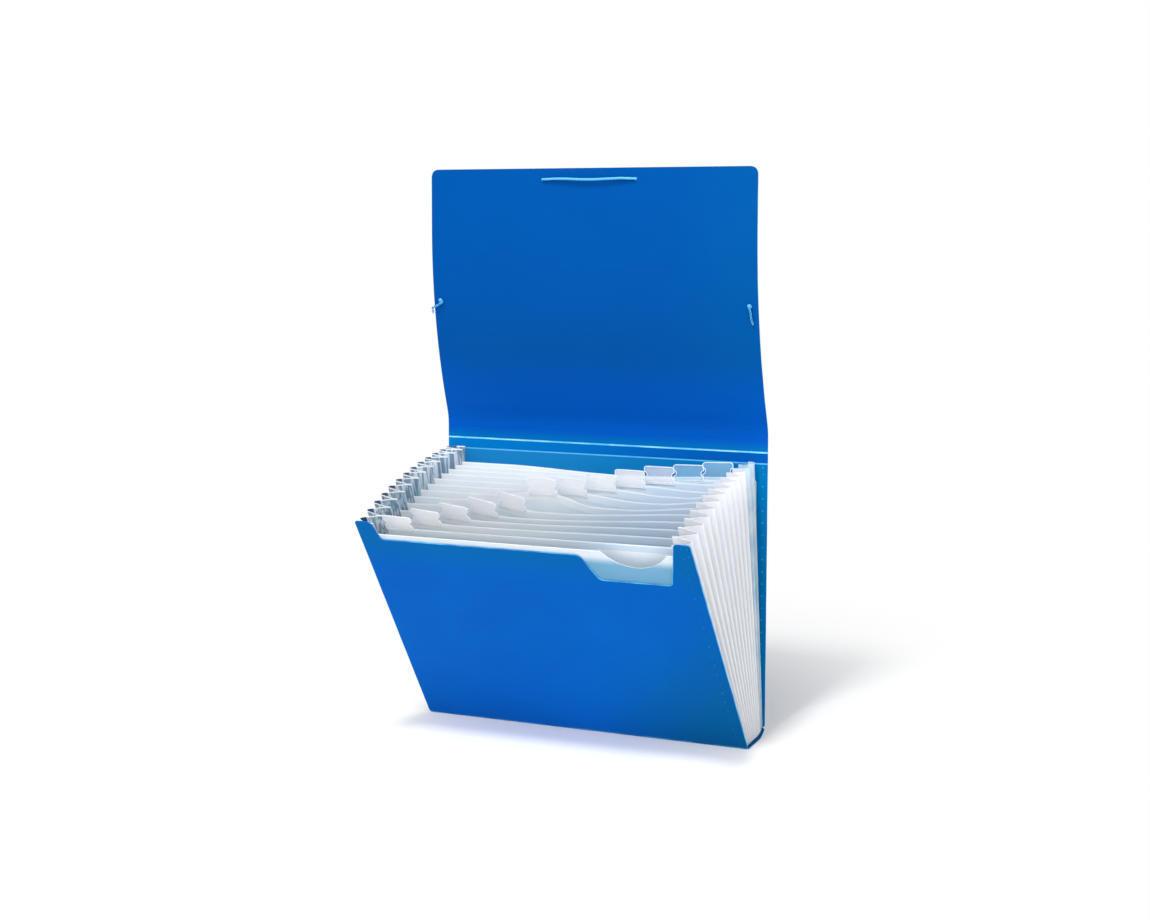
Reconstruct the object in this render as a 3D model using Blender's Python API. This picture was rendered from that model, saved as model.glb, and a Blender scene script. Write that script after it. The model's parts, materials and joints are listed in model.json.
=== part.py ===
"""Expanding file for A4 sheets, standing open on its bottom spine.

Two stiff covers are joined by a bottom spine, a fan of pocket dividers opens
between them, a pleated gusset closes each side of the fan, and a hinged lid
with an elastic cord stands up behind it.  All sizes are in millimetres; the
objects are made in metres.  X runs along the width, Y towards the back, Z up.
The origin lies in the middle of the flat base that the file stands on.
"""
import math

import bmesh
import bpy
from mathutils import Matrix, Vector

# Overall sizes
COVER_WIDTH = 330.0
BACK_HEIGHT = 240.0
FLAP_LENGTH = 236.3
POCKETS = 13
POCKET_PITCH = 3.0

# Sheet thicknesses and the gap between neighbouring sheets
COVER_SHEET = 0.8
INNER_SHEET = 0.3
TAB_SHEET = 0.4
SHEET_GAP = 0.3
CREASE_GAP = 0.6
LID_CREASE_GAP = 0.3

# How the file stands, in degrees from the vertical (positive leans forward)
BACK_LEAN = -8.0
FAN_ANGLE = 33.0
FLAT_BASE = 24.0

# Front cover: its ears, its low top edge and the notch near its right side
FRONT_DROP = 3.0
EAR_WIDTH = 15.5
EAR_SLOPE = 6.0
EAR_RISE = 20.0
NOTCH_DEPTH = 27.0
NOTCH_RIGHT_INSET = 27.7
NOTCH_WIDTH = 68.5
NOTCH_SLOPE = 13.6
COVER_CORNER = 3.0
CUT_CORNER = 4.0

# Pocket sheets
SHEET_FOOT = 2.6
SHEET_DROP = 17.5
FAN_LIFT = 7.0
WALL_INSET = 2.0
THUMB_INSET = 57.0
THUMB_HALF_WIDTH = 31.0
THUMB_DEPTH = 16.0
THUMB_STEPS = 12
SHEET_CORNER = 4.0

# Pleated gussets
RIDGE_INSET = 1.5
PLEAT_DEPTH = 15.0
FLANGE_WIDTH = 8.0
FOLD_HALF_WIDTH = 0.4
RIDGE_SHARE = 0.35
GUSSET_DROP = 2.5

# Index tabs
TAB_WIDTH = 30.0
TAB_RISE = 13.5
TAB_LAP = 7.0
TAB_FIRST_INSET = 4.5
TAB_LAST_INSET = 11.5
TAB_CORNER = 3.0
TAB_BITE_RADIUS = 2.6
TAB_BITE_RISE = 5.5
TAB_BITE_STEPS = 8

# Lid
LID_STRIPS = 3
LID_STRIP_HEIGHT = 10.0
FLAP_FOOT_LEAN = 19.0
FLAP_BEND_LENGTH = 180.0
FLAP_BEND_STEPS = 12
FLAP_CORNER = 8.0
FLAP_CORNER_STEPS = 6

# Elastic cord and its holes
CORD_DIAMETER = 2.2
CORD_HOLE_DIAMETER = 4.0
EDGE_HOLE_X = 48.3
EDGE_HOLE_INSET = 10.0
SIDE_HOLE_INSET = 7.7
SIDE_HOLE_DOWN = 122.2
CORD_BEND = 1.4
CORD_BEND_STEPS = 4
CORD_SIDES = 10
LEFT_TAIL_DROP = 11.0
RIGHT_TAIL_DROP = 16.0
HOLE_SIDES = 24
KNOT_SIDES = 20

# Bottom spine
SPINE_ARC_STEPS = 10
CORNER_STEPS = 5

MM = 0.001

HALF_WIDTH = COVER_WIDTH / 2
HALF_COVER = COVER_SHEET / 2
HALF_INNER = INNER_SHEET / 2
FRONT_LEAN = BACK_LEAN + FAN_ANGLE
MIDDLE_LEAN = (FRONT_LEAN + BACK_LEAN) / 2
FIRST_BACK_DIVIDER = POCKETS // 2 + 1

# Heights up the covers
FRONT_HEIGHT = BACK_HEIGHT - FRONT_DROP
TOP_EDGE = FRONT_HEIGHT - EAR_RISE
NOTCH_FLOOR = TOP_EDGE - NOTCH_DEPTH

# Places along the width
RIDGE_X = HALF_WIDTH - RIDGE_INSET
VALLEY_X = RIDGE_X - PLEAT_DEPTH
FLANGE_X = RIDGE_X - FLANGE_WIDTH
DIVIDER_HALF_WIDTH = VALLEY_X - HALF_INNER - SHEET_GAP
NOTCH_RIGHT_FOOT = HALF_WIDTH - NOTCH_RIGHT_INSET
NOTCH_LEFT_FOOT = NOTCH_RIGHT_FOOT - NOTCH_WIDTH
THUMB_CENTRE = HALF_WIDTH - THUMB_INSET
TAB_FIRST_CENTRE = TAB_FIRST_INSET + TAB_WIDTH / 2 - DIVIDER_HALF_WIDTH
TAB_LAST_CENTRE = DIVIDER_HALF_WIDTH - TAB_LAST_INSET - TAB_WIDTH / 2
TAB_PITCH = (TAB_LAST_CENTRE - TAB_FIRST_CENTRE) / (POCKETS - 2)
SIDE_HOLE_X = HALF_WIDTH - SIDE_HOLE_INSET

# Distances of the layers from the middle of a cover sheet
WALL_OFFSET = HALF_COVER + SHEET_GAP + HALF_INNER
FLANGE_OFFSET = WALL_OFFSET + INNER_SHEET + SHEET_GAP
TAB_OFFSET = HALF_INNER + SHEET_GAP + TAB_SHEET / 2
CORD_OFFSET = HALF_COVER + SHEET_GAP + CORD_DIAMETER / 2
KNOT_RADIUS = CORD_DIAMETER + SHEET_GAP
TAIL_OFFSET = CORD_OFFSET + CORD_DIAMETER + SHEET_GAP


def along(lean):
    """Direction up a sheet that leans by this angle, as (y, z)."""
    angle = math.radians(lean)
    return Vector((-math.sin(angle), math.cos(angle)))


def across(lean):
    """Direction out of the back of a sheet that leans by this angle, as (y, z)."""
    angle = math.radians(lean)
    return Vector((math.cos(angle), math.sin(angle)))


FRONT_CREASE = Vector((-FLAT_BASE / 2, HALF_COVER))
CHORD = across(MIDDLE_LEAN)
BACK_CREASE = FRONT_CREASE + CHORD * (POCKETS * POCKET_PITCH)


def sheet_lean(index):
    """Lean of cover or divider number index, counted from the front cover."""
    return FRONT_LEAN - FAN_ANGLE * index / POCKETS


def sheet_foot(index):
    """Foot of cover or divider number index on the line between the creases."""
    return FRONT_CREASE + CHORD * (POCKET_PITCH * index)


def sheet_lift(index):
    """How much higher sheet number index reaches than the front one."""
    return FAN_LIFT * index / POCKETS


def sheet_top(index):
    """Height of the top edge of pocket sheet number index."""
    return BACK_HEIGHT - SHEET_DROP + sheet_lift(index)


def sheet_point(index, rise, offset):
    """Point at a height up sheet number index and at a distance behind it, as (y, z)."""
    lean = sheet_lean(index)
    return sheet_foot(index) + along(lean) * rise + across(lean) * offset


def sheet_axis(index):
    """Crease that sheet number index turns about."""
    if index < FIRST_BACK_DIVIDER:
        return FRONT_CREASE
    return BACK_CREASE


def plastic(name, colour, roughness, alpha=1.0):
    """One plastic, with its colour, roughness and opacity."""
    material = bpy.data.materials.new(name)
    material.use_nodes = True
    shader = material.node_tree.nodes["Principled BSDF"]
    shader.inputs["Base Color"].default_value = (*colour, 1.0)
    shader.inputs["Roughness"].default_value = roughness
    shader.inputs["Metallic"].default_value = 0.0
    shader.inputs["Alpha"].default_value = alpha
    material.diffuse_color = (*colour, alpha)
    return material


def new_object(name, mesh, material, axis=(0.0, 0.0), lean=0.0):
    """Object whose origin lies on a crease line and whose sheet leans by an angle."""
    mesh.materials.append(material)
    item = bpy.data.objects.new(name, mesh)
    item.location = (0.0, axis[0] * MM, axis[1] * MM)
    item.rotation_euler = (math.radians(lean), 0.0, 0.0)
    bpy.context.scene.collection.objects.link(item)
    return item


def finish_mesh(name, bm):
    """Turn a working mesh in millimetres into a mesh in metres that faces out."""
    bmesh.ops.recalc_face_normals(bm, faces=bm.faces)
    bmesh.ops.scale(bm, vec=(MM, MM, MM), verts=bm.verts)
    mesh = bpy.data.meshes.new(name)
    bm.to_mesh(mesh)
    bm.free()
    return mesh


def flat_sheet(name, outline, corners, middle, thickness, material, axis, lean):
    """Flat sheet cut to an outline of (x, height), with its corners rounded."""
    bm = bmesh.new()
    points = [bm.verts.new((x, middle - thickness / 2, rise)) for x, rise in outline]
    bm.faces.new(points)
    for radius, numbers in corners.items():
        bmesh.ops.bevel(
            bm,
            geom=[points[number] for number in numbers],
            offset=radius,
            offset_type="OFFSET",
            affect="VERTICES",
            segments=CORNER_STEPS,
            profile=0.5,
        )
    grown = bmesh.ops.extrude_face_region(bm, geom=list(bm.faces))
    moved = [part for part in grown["geom"] if isinstance(part, bmesh.types.BMVert)]
    bmesh.ops.translate(bm, vec=(0.0, thickness, 0.0), verts=moved)
    return new_object(name, finish_mesh(name, bm), material, axis, lean)


def folded_sheet(name, rows, thickness, material, axis=(0.0, 0.0)):
    """Sheet through rows of points, thickened evenly to both sides."""
    bm = bmesh.new()
    origin = Vector((0.0, axis[0], axis[1]))
    grid = [[bm.verts.new(Vector(point) - origin) for point in row] for row in rows]
    for low, high in zip(grid, grid[1:]):
        for place in range(len(low) - 1):
            bm.faces.new((low[place], low[place + 1], high[place + 1], high[place]))
    item = new_object(name, finish_mesh(name, bm), material, axis)
    shell = item.modifiers.new("thickness", "SOLIDIFY")
    shell.thickness = thickness * MM
    shell.offset = 0.0
    shell.use_even_offset = True
    return item


def spread(point, x):
    """Point (y, z) carried to a place along the width."""
    return (x, point[0], point[1])


def front_outline():
    """Outline of the front cover: two ears, a low top edge and a deep notch."""
    ear = HALF_WIDTH - EAR_WIDTH
    return [
        (-HALF_WIDTH, CREASE_GAP),
        (HALF_WIDTH, CREASE_GAP),
        (HALF_WIDTH, FRONT_HEIGHT),
        (ear, FRONT_HEIGHT),
        (NOTCH_RIGHT_FOOT, NOTCH_FLOOR),
        (NOTCH_LEFT_FOOT, NOTCH_FLOOR),
        (NOTCH_LEFT_FOOT - NOTCH_SLOPE, TOP_EDGE),
        (EAR_SLOPE - ear, TOP_EDGE),
        (-ear, FRONT_HEIGHT),
        (-HALF_WIDTH, FRONT_HEIGHT),
    ]


def wall_outline():
    """Outline of the first pocket's front wall, with its thumb cut."""
    half = HALF_WIDTH - WALL_INSET
    radius = (THUMB_HALF_WIDTH ** 2 + THUMB_DEPTH ** 2) / (2 * THUMB_DEPTH)
    reach = math.asin(THUMB_HALF_WIDTH / radius)
    top = sheet_top(0)
    centre = top - THUMB_DEPTH + radius
    cut = []
    for step in range(THUMB_STEPS + 1):
        angle = reach * (1 - 2 * step / THUMB_STEPS)
        cut.append((THUMB_CENTRE + radius * math.sin(angle), centre - radius * math.cos(angle)))
    return [(-half, SHEET_FOOT), (half, SHEET_FOOT), (half, top)] + cut + [(-half, top)]


def plain_outline(half, foot, top):
    """Plain rectangle, symmetrical about the middle."""
    return [(-half, foot), (half, foot), (half, top), (-half, top)]


def tab_outline(centre, edge):
    """Index tab: a lap welded to its divider, a bite at each side and a rounded head."""
    half = TAB_WIDTH / 2
    neck = edge + TAB_BITE_RISE
    right = [(half, edge - TAB_LAP)]
    for step in range(TAB_BITE_STEPS + 1):
        angle = math.pi * step / TAB_BITE_STEPS
        right.append((
            half - TAB_BITE_RADIUS * math.sin(angle),
            neck - TAB_BITE_RADIUS * math.cos(angle),
        ))
    right.append((half, edge + TAB_RISE))
    left = [(-x, rise) for x, rise in reversed(right)]
    return [(centre + x, rise) for x, rise in right + left]


def add_covers(blue):
    """Front cover and back cover, each on its own crease."""
    flat_sheet(
        "front_cover", front_outline(),
        {COVER_CORNER: (0, 1, 2, 3, 8, 9), CUT_CORNER: (4, 5, 6, 7)},
        0.0, COVER_SHEET, blue, FRONT_CREASE, FRONT_LEAN,
    )
    flat_sheet(
        "back_cover", plain_outline(HALF_WIDTH, CREASE_GAP, BACK_HEIGHT - LID_CREASE_GAP),
        {COVER_CORNER: (0, 1)}, 0.0, COVER_SHEET, blue, BACK_CREASE, BACK_LEAN,
    )


def add_spine(blue):
    """Bottom spine: flat where the file stands, then curved up to the back crease."""
    flat_end = Vector((FLAT_BASE / 2, HALF_COVER))
    span = BACK_CREASE - flat_end
    half_turn = math.atan2(span.y, span.x)
    radius = span.length / (2 * math.sin(half_turn))
    full_turn = 2 * half_turn - CREASE_GAP / radius
    profile = [FRONT_CREASE + Vector((CREASE_GAP, 0.0)), flat_end]
    for step in range(1, SPINE_ARC_STEPS + 1):
        turn = full_turn * step / SPINE_ARC_STEPS
        profile.append(flat_end + Vector((math.sin(turn), 1 - math.cos(turn))) * radius)
    rows = [[spread(point, -HALF_WIDTH), spread(point, HALF_WIDTH)] for point in profile]
    folded_sheet("bottom_spine", rows, COVER_SHEET, blue)


def add_walls(clear):
    """Clear end walls of the fan, one on the inside of each cover."""
    outline = wall_outline()
    flat_sheet(
        "front_wall", outline, {SHEET_CORNER: (2, len(outline) - 1)},
        WALL_OFFSET, INNER_SHEET, clear, FRONT_CREASE, FRONT_LEAN,
    )
    flat_sheet(
        "back_wall", plain_outline(HALF_WIDTH - WALL_INSET, SHEET_FOOT, sheet_top(POCKETS / 2)),
        {SHEET_CORNER: (2, 3)}, -WALL_OFFSET, INNER_SHEET, clear, BACK_CREASE, BACK_LEAN,
    )


def add_dividers(clear, tab_plastic):
    """Pocket dividers, each with its index tab one step further along."""
    for index in range(1, POCKETS):
        lean = sheet_lean(index)
        axis = sheet_axis(index)
        shift = sheet_foot(index) - axis
        behind = shift.dot(across(lean))
        foot = shift.dot(along(lean))
        edge = foot + sheet_top(index)
        flat_sheet(
            f"divider_{index:02d}",
            plain_outline(DIVIDER_HALF_WIDTH, foot + SHEET_FOOT, edge),
            {SHEET_CORNER: (2, 3)}, behind, INNER_SHEET, clear, axis, lean,
        )
        outline = tab_outline(TAB_FIRST_CENTRE + TAB_PITCH * (index - 1), edge)
        top_corners = (TAB_BITE_STEPS + 2, TAB_BITE_STEPS + 3)
        flat_sheet(
            f"index_tab_{index:02d}", outline, {TAB_CORNER: top_corners},
            behind - TAB_OFFSET, TAB_SHEET, tab_plastic, axis, lean,
        )


def gusset_row(rise, lifted):
    """Fold points of the right gusset at one height, from the front to the back."""
    def at(index, offset):
        lift = sheet_lift(index) if lifted else 0.0
        return sheet_point(index, rise + lift, offset)

    fold = FOLD_HALF_WIDTH
    row = [spread(at(0, FLANGE_OFFSET), FLANGE_X)]
    for index in range(POCKETS):
        front = at(index, fold if index else FLANGE_OFFSET)
        last = index == POCKETS - 1
        back = at(index + 1, -FLANGE_OFFSET if last else -fold)
        row.append(spread(front.lerp(back, RIDGE_SHARE), RIDGE_X))
        row.append(spread(front.lerp(back, 1 - RIDGE_SHARE), RIDGE_X))
        if last:
            row.append(spread(back, FLANGE_X))
        else:
            row.append(spread(back, VALLEY_X))
            row.append(spread(at(index + 1, fold), VALLEY_X))
    return row


def add_gussets(clear):
    """Pleated gusset on each side: a ridge at each pocket, a valley at each divider."""
    rows = [gusset_row(SHEET_FOOT, False), gusset_row(FRONT_HEIGHT - GUSSET_DROP, True)]
    folded_sheet("gusset_right", rows, INNER_SHEET, clear)
    mirrored = [[(-x, y, z) for x, y, z in row] for row in rows]
    folded_sheet("gusset_left", mirrored, INNER_SHEET, clear)


def lid_crease(number):
    """Lid crease number, counted up from the top of the back cover, as (y, z)."""
    return BACK_CREASE + along(BACK_LEAN) * (BACK_HEIGHT + LID_STRIP_HEIGHT * number)


def add_lid_strips(blue):
    """Strips of the lid's spine, between its creases."""
    for number in range(LID_STRIPS):
        flat_sheet(
            f"lid_strip_{number + 1}",
            plain_outline(HALF_WIDTH, LID_CREASE_GAP, LID_STRIP_HEIGHT - LID_CREASE_GAP),
            {}, 0.0, COVER_SHEET, blue, lid_crease(number), BACK_LEAN,
        )


def flap_point(x, length, offset):
    """Point on the flap at a length up it and a distance behind it."""
    foot_lean = math.radians(BACK_LEAN + FLAP_FOOT_LEAN)
    end_lean = math.radians(BACK_LEAN)
    rate = (end_lean - foot_lean) / FLAP_BEND_LENGTH
    bent = min(length, FLAP_BEND_LENGTH)
    lean = foot_lean + rate * bent
    straight = length - bent
    y = (math.cos(lean) - math.cos(foot_lean)) / rate - math.sin(lean) * straight
    z = (math.sin(lean) - math.sin(foot_lean)) / rate + math.cos(lean) * straight
    place = lid_crease(LID_STRIPS) + Vector((y, z)) + across(math.degrees(lean)) * offset
    return Vector(spread(place, x))


def flap_lengths():
    """Lengths up the flap with the half width there, round corners at the top."""
    places = []
    for step in range(FLAP_BEND_STEPS + 1):
        length = LID_CREASE_GAP + (FLAP_BEND_LENGTH - LID_CREASE_GAP) * step / FLAP_BEND_STEPS
        places.append((length, HALF_WIDTH))
    for step in range(FLAP_CORNER_STEPS + 1):
        angle = math.pi / 2 * step / FLAP_CORNER_STEPS
        places.append((
            FLAP_LENGTH - FLAP_CORNER * (1 - math.sin(angle)),
            HALF_WIDTH - FLAP_CORNER * (1 - math.cos(angle)),
        ))
    return places


def hole_places():
    """Places of the cord's holes on the flap, from the left side to the right side."""
    edge = FLAP_LENGTH - EDGE_HOLE_INSET
    side = FLAP_LENGTH - SIDE_HOLE_DOWN
    return [(-SIDE_HOLE_X, side), (-EDGE_HOLE_X, edge), (EDGE_HOLE_X, edge), (SIDE_HOLE_X, side)]


def add_flap(blue):
    """Bowed lid flap with four holes for the cord."""
    crease = lid_crease(LID_STRIPS)
    rows = []
    for length, half in flap_lengths():
        rows.append([flap_point(-half, length, 0.0), flap_point(half, length, 0.0)])
    flap = folded_sheet("lid_flap", rows, COVER_SHEET, blue, crease)
    for number, (x, length) in enumerate(hole_places()):
        bm = bmesh.new()
        front = flap_point(x, length, -COVER_SHEET * 2)
        back = flap_point(x, length, COVER_SHEET * 2)
        turn = (back - front).to_track_quat("Z", "Y").to_matrix().to_4x4()
        bmesh.ops.create_cone(
            bm, cap_ends=True, segments=HOLE_SIDES,
            radius1=CORD_HOLE_DIAMETER / 2, radius2=CORD_HOLE_DIAMETER / 2,
            depth=(back - front).length,
            matrix=Matrix.Translation((front + back) / 2) @ turn,
        )
        cutter = new_object(f"cut_hole_{number}", finish_mesh(f"cut_hole_{number}", bm), blue)
        cutter.hide_render = True
        cutter.display_type = "WIRE"
        hole = flap.modifiers.new(f"hole_{number}", "BOOLEAN")
        hole.operation = "DIFFERENCE"
        hole.solver = "EXACT"
        hole.object = cutter


def rounded_path(corners, radius):
    """Path through corner points, with an arc of this radius at each turn."""
    path = [corners[0]]
    for before, corner, after in zip(corners, corners[1:], corners[2:]):
        into = (corner - before).normalized()
        away = (after - corner).normalized()
        turn = into.angle(away)
        cut = radius * math.tan(turn / 2)
        for step in range(CORD_BEND_STEPS + 1):
            share = step / CORD_BEND_STEPS
            start = corner - into * cut
            end = corner + away * cut
            path.append(start.lerp(corner, share).lerp(corner.lerp(end, share), share))
    path.append(corners[-1])
    return path


def past_knot(hole, end):
    """Corner where a tail has cleared the knot at its hole and can turn down to the flap."""
    start = Vector(hole)
    step = (Vector(end) - start).normalized() * (KNOT_RADIUS + CORD_DIAMETER)
    return (*(start + step), -TAIL_OFFSET)


def cord_corners():
    """Corners of the cord's route: tail, side hole, edge holes, side hole, tail."""
    left, left_edge, right_edge, right = hole_places()
    inside = -CORD_OFFSET
    outside = CORD_OFFSET
    over_edge = (-HALF_WIDTH - CORD_DIAMETER, left[1] - LEFT_TAIL_DROP / 2)
    left_end = (over_edge[0], left[1] - LEFT_TAIL_DROP)
    right_end = (right[0] + CORD_DIAMETER, right[1] - RIGHT_TAIL_DROP)
    return [
        (*left_end, outside),
        (*over_edge, inside),
        past_knot(left, over_edge),
        (*left, -TAIL_OFFSET),
        (*left, outside),
        (*left_edge, outside),
        (*left_edge, inside),
        (*right_edge, inside),
        (*right_edge, outside),
        (*right, outside),
        (*right, -TAIL_OFFSET),
        past_knot(right, right_end),
        (*right_end, inside),
    ]


def add_cord(elastic):
    """Elastic cord along its whole route, with a knot at each side hole."""
    corners = [Vector(corner) for corner in cord_corners()]
    crease = Vector(spread(lid_crease(LID_STRIPS), 0.0))
    points = [flap_point(*place) - crease for place in rounded_path(corners, CORD_BEND)]
    curve = bpy.data.curves.new("elastic_cord", "CURVE")
    curve.dimensions = "3D"
    curve.bevel_depth = CORD_DIAMETER / 2 * MM
    curve.bevel_resolution = (CORD_SIDES - 4) // 2
    curve.use_fill_caps = True
    line = curve.splines.new("POLY")
    line.points.add(len(points) - 1)
    for slot, point in zip(line.points, points):
        slot.co = (*(point * MM), 1.0)
    new_object("elastic_cord", curve, elastic, (crease.y, crease.z))
    places = hole_places()
    for name, (x, length) in (("cord_knot_left", places[0]), ("cord_knot_right", places[-1])):
        add_knot(name, x, length, elastic, crease)


def add_knot(name, x, length, elastic, crease):
    """One turn of cord drawn tight round the cord where it leaves its hole."""
    middle = flap_point(x, length, -CORD_OFFSET)
    outward = middle - flap_point(x, length, 0.0)
    turn = outward.to_track_quat("Z", "Y").to_matrix().to_4x4()
    bm = bmesh.new()
    ring = bmesh.ops.create_circle(
        bm, cap_ends=False, segments=CORD_SIDES, radius=CORD_DIAMETER / 2,
        matrix=Matrix.Translation((KNOT_RADIUS, 0.0, 0.0)) @ Matrix.Rotation(math.pi / 2, 4, "X"),
    )
    edges = list({edge for vert in ring["verts"] for edge in vert.link_edges})
    bmesh.ops.spin(
        bm, geom=edges + ring["verts"], cent=(0.0, 0.0, 0.0), axis=(0.0, 0.0, 1.0),
        angle=2 * math.pi, steps=KNOT_SIDES, use_merge=True,
    )
    bmesh.ops.remove_doubles(bm, verts=bm.verts, dist=MM)
    bmesh.ops.transform(bm, matrix=Matrix.Translation(middle - crease) @ turn, verts=bm.verts)
    new_object(name, finish_mesh(name, bm), elastic, (crease.y, crease.z))


def main():
    for item in list(bpy.data.objects):
        bpy.data.objects.remove(item, do_unlink=True)
    blue = plastic("blue_polypropylene", (0.0, 0.12, 0.52), 0.38)
    lid_blue = plastic("blue_lid_polypropylene", (0.0, 0.10, 0.45), 0.34)
    clear = plastic("frosted_polypropylene", (0.82, 0.87, 0.92), 0.45, 0.6)
    tab_plastic = plastic("clear_tab_plastic", (0.88, 0.92, 0.96), 0.25, 0.5)
    elastic = plastic("blue_elastic", (0.11, 0.48, 1.0), 0.7)
    add_spine(blue)
    add_covers(blue)
    add_walls(clear)
    add_dividers(clear, tab_plastic)
    add_gussets(clear)
    add_lid_strips(lid_blue)
    add_flap(lid_blue)
    add_cord(elastic)


main()
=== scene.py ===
"""Expanding file standing open: covers, lid, pockets, index tabs, pleated sides and elastic cord.

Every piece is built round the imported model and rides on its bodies.  Sizes and
colours are kept in property groups, and each operator makes one group of pieces.
Lengths are in metres, angles in radians.  X runs along the width, Y towards the
back and Z up.
"""
import json
import math

import bmesh
import bpy
from bpy.props import FloatProperty, FloatVectorProperty, PointerProperty
from mathutils import Matrix, Vector
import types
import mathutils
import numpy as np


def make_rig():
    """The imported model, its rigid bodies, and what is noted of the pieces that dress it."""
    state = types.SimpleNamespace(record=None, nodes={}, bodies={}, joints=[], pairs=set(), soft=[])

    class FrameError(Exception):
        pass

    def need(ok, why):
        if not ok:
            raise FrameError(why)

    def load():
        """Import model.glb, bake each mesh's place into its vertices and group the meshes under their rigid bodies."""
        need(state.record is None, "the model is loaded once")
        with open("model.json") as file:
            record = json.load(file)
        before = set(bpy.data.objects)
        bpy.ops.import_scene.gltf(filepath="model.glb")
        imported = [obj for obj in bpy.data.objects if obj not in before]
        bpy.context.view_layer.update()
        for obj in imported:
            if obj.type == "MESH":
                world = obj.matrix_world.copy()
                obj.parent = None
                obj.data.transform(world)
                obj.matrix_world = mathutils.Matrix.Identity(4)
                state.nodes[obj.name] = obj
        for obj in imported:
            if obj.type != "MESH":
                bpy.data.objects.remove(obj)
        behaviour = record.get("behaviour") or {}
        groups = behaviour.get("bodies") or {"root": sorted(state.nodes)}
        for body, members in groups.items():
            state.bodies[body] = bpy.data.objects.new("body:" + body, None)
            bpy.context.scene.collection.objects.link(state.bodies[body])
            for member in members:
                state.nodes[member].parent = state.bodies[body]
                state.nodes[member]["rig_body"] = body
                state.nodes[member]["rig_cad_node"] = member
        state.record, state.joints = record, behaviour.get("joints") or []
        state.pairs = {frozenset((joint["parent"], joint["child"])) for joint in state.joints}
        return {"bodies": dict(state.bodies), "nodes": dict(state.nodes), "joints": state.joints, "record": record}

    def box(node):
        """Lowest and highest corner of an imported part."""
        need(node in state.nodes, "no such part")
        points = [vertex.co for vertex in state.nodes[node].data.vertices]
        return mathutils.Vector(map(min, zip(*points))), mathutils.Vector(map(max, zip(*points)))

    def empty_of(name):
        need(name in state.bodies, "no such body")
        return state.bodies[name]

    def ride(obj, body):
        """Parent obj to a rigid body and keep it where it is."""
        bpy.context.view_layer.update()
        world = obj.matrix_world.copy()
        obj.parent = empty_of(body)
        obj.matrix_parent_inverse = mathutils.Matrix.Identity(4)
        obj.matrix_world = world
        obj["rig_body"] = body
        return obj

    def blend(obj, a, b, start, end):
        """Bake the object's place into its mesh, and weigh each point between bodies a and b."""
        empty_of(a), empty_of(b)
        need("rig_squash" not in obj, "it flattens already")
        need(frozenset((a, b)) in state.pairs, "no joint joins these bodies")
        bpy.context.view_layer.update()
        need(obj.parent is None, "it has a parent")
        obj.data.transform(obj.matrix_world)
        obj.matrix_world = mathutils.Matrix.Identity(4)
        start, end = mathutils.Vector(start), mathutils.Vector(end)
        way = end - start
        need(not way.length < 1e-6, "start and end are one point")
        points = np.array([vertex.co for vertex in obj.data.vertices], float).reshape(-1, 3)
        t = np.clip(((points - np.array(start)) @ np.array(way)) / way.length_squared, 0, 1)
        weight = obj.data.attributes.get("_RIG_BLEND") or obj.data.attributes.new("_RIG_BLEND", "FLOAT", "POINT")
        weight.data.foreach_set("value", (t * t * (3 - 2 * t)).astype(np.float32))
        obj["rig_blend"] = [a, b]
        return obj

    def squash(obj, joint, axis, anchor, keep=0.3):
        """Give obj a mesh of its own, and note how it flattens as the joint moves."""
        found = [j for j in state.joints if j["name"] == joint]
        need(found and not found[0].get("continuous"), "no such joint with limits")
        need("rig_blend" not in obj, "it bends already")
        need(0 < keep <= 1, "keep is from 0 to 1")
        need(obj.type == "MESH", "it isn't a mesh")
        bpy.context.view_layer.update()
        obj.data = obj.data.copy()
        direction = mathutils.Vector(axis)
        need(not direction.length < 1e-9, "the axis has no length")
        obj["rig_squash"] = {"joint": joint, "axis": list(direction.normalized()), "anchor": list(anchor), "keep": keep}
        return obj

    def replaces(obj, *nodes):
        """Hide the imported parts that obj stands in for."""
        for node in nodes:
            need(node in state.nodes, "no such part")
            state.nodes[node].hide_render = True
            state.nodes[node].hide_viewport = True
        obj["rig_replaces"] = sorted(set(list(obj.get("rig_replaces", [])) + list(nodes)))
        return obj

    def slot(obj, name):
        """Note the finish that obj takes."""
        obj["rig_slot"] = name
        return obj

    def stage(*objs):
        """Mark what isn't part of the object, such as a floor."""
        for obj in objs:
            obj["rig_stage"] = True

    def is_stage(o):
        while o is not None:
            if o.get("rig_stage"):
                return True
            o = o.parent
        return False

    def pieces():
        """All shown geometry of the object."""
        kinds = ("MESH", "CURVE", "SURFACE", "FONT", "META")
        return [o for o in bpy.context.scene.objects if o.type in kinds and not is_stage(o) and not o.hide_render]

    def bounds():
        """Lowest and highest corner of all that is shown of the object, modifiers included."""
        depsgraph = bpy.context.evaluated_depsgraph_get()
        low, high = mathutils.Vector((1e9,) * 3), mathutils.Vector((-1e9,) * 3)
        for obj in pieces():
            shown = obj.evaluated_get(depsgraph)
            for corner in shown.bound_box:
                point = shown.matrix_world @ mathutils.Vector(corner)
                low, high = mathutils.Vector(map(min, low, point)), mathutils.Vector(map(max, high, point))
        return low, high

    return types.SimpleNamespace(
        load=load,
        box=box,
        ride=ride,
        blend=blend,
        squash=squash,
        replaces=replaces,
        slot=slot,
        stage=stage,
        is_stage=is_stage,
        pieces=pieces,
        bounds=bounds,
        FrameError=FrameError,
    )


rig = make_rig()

bl_info = {
    "name": "Expanding file",
    "version": (1, 0, 0),
    "blender": (4, 5, 0),
    "location": "View3D > Sidebar > File",
    "description": "Builds an expanding file with a fan of pockets and a hinged lid",
    "category": "Object",
}

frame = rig.load()
CAD_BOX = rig.bounds()

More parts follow.
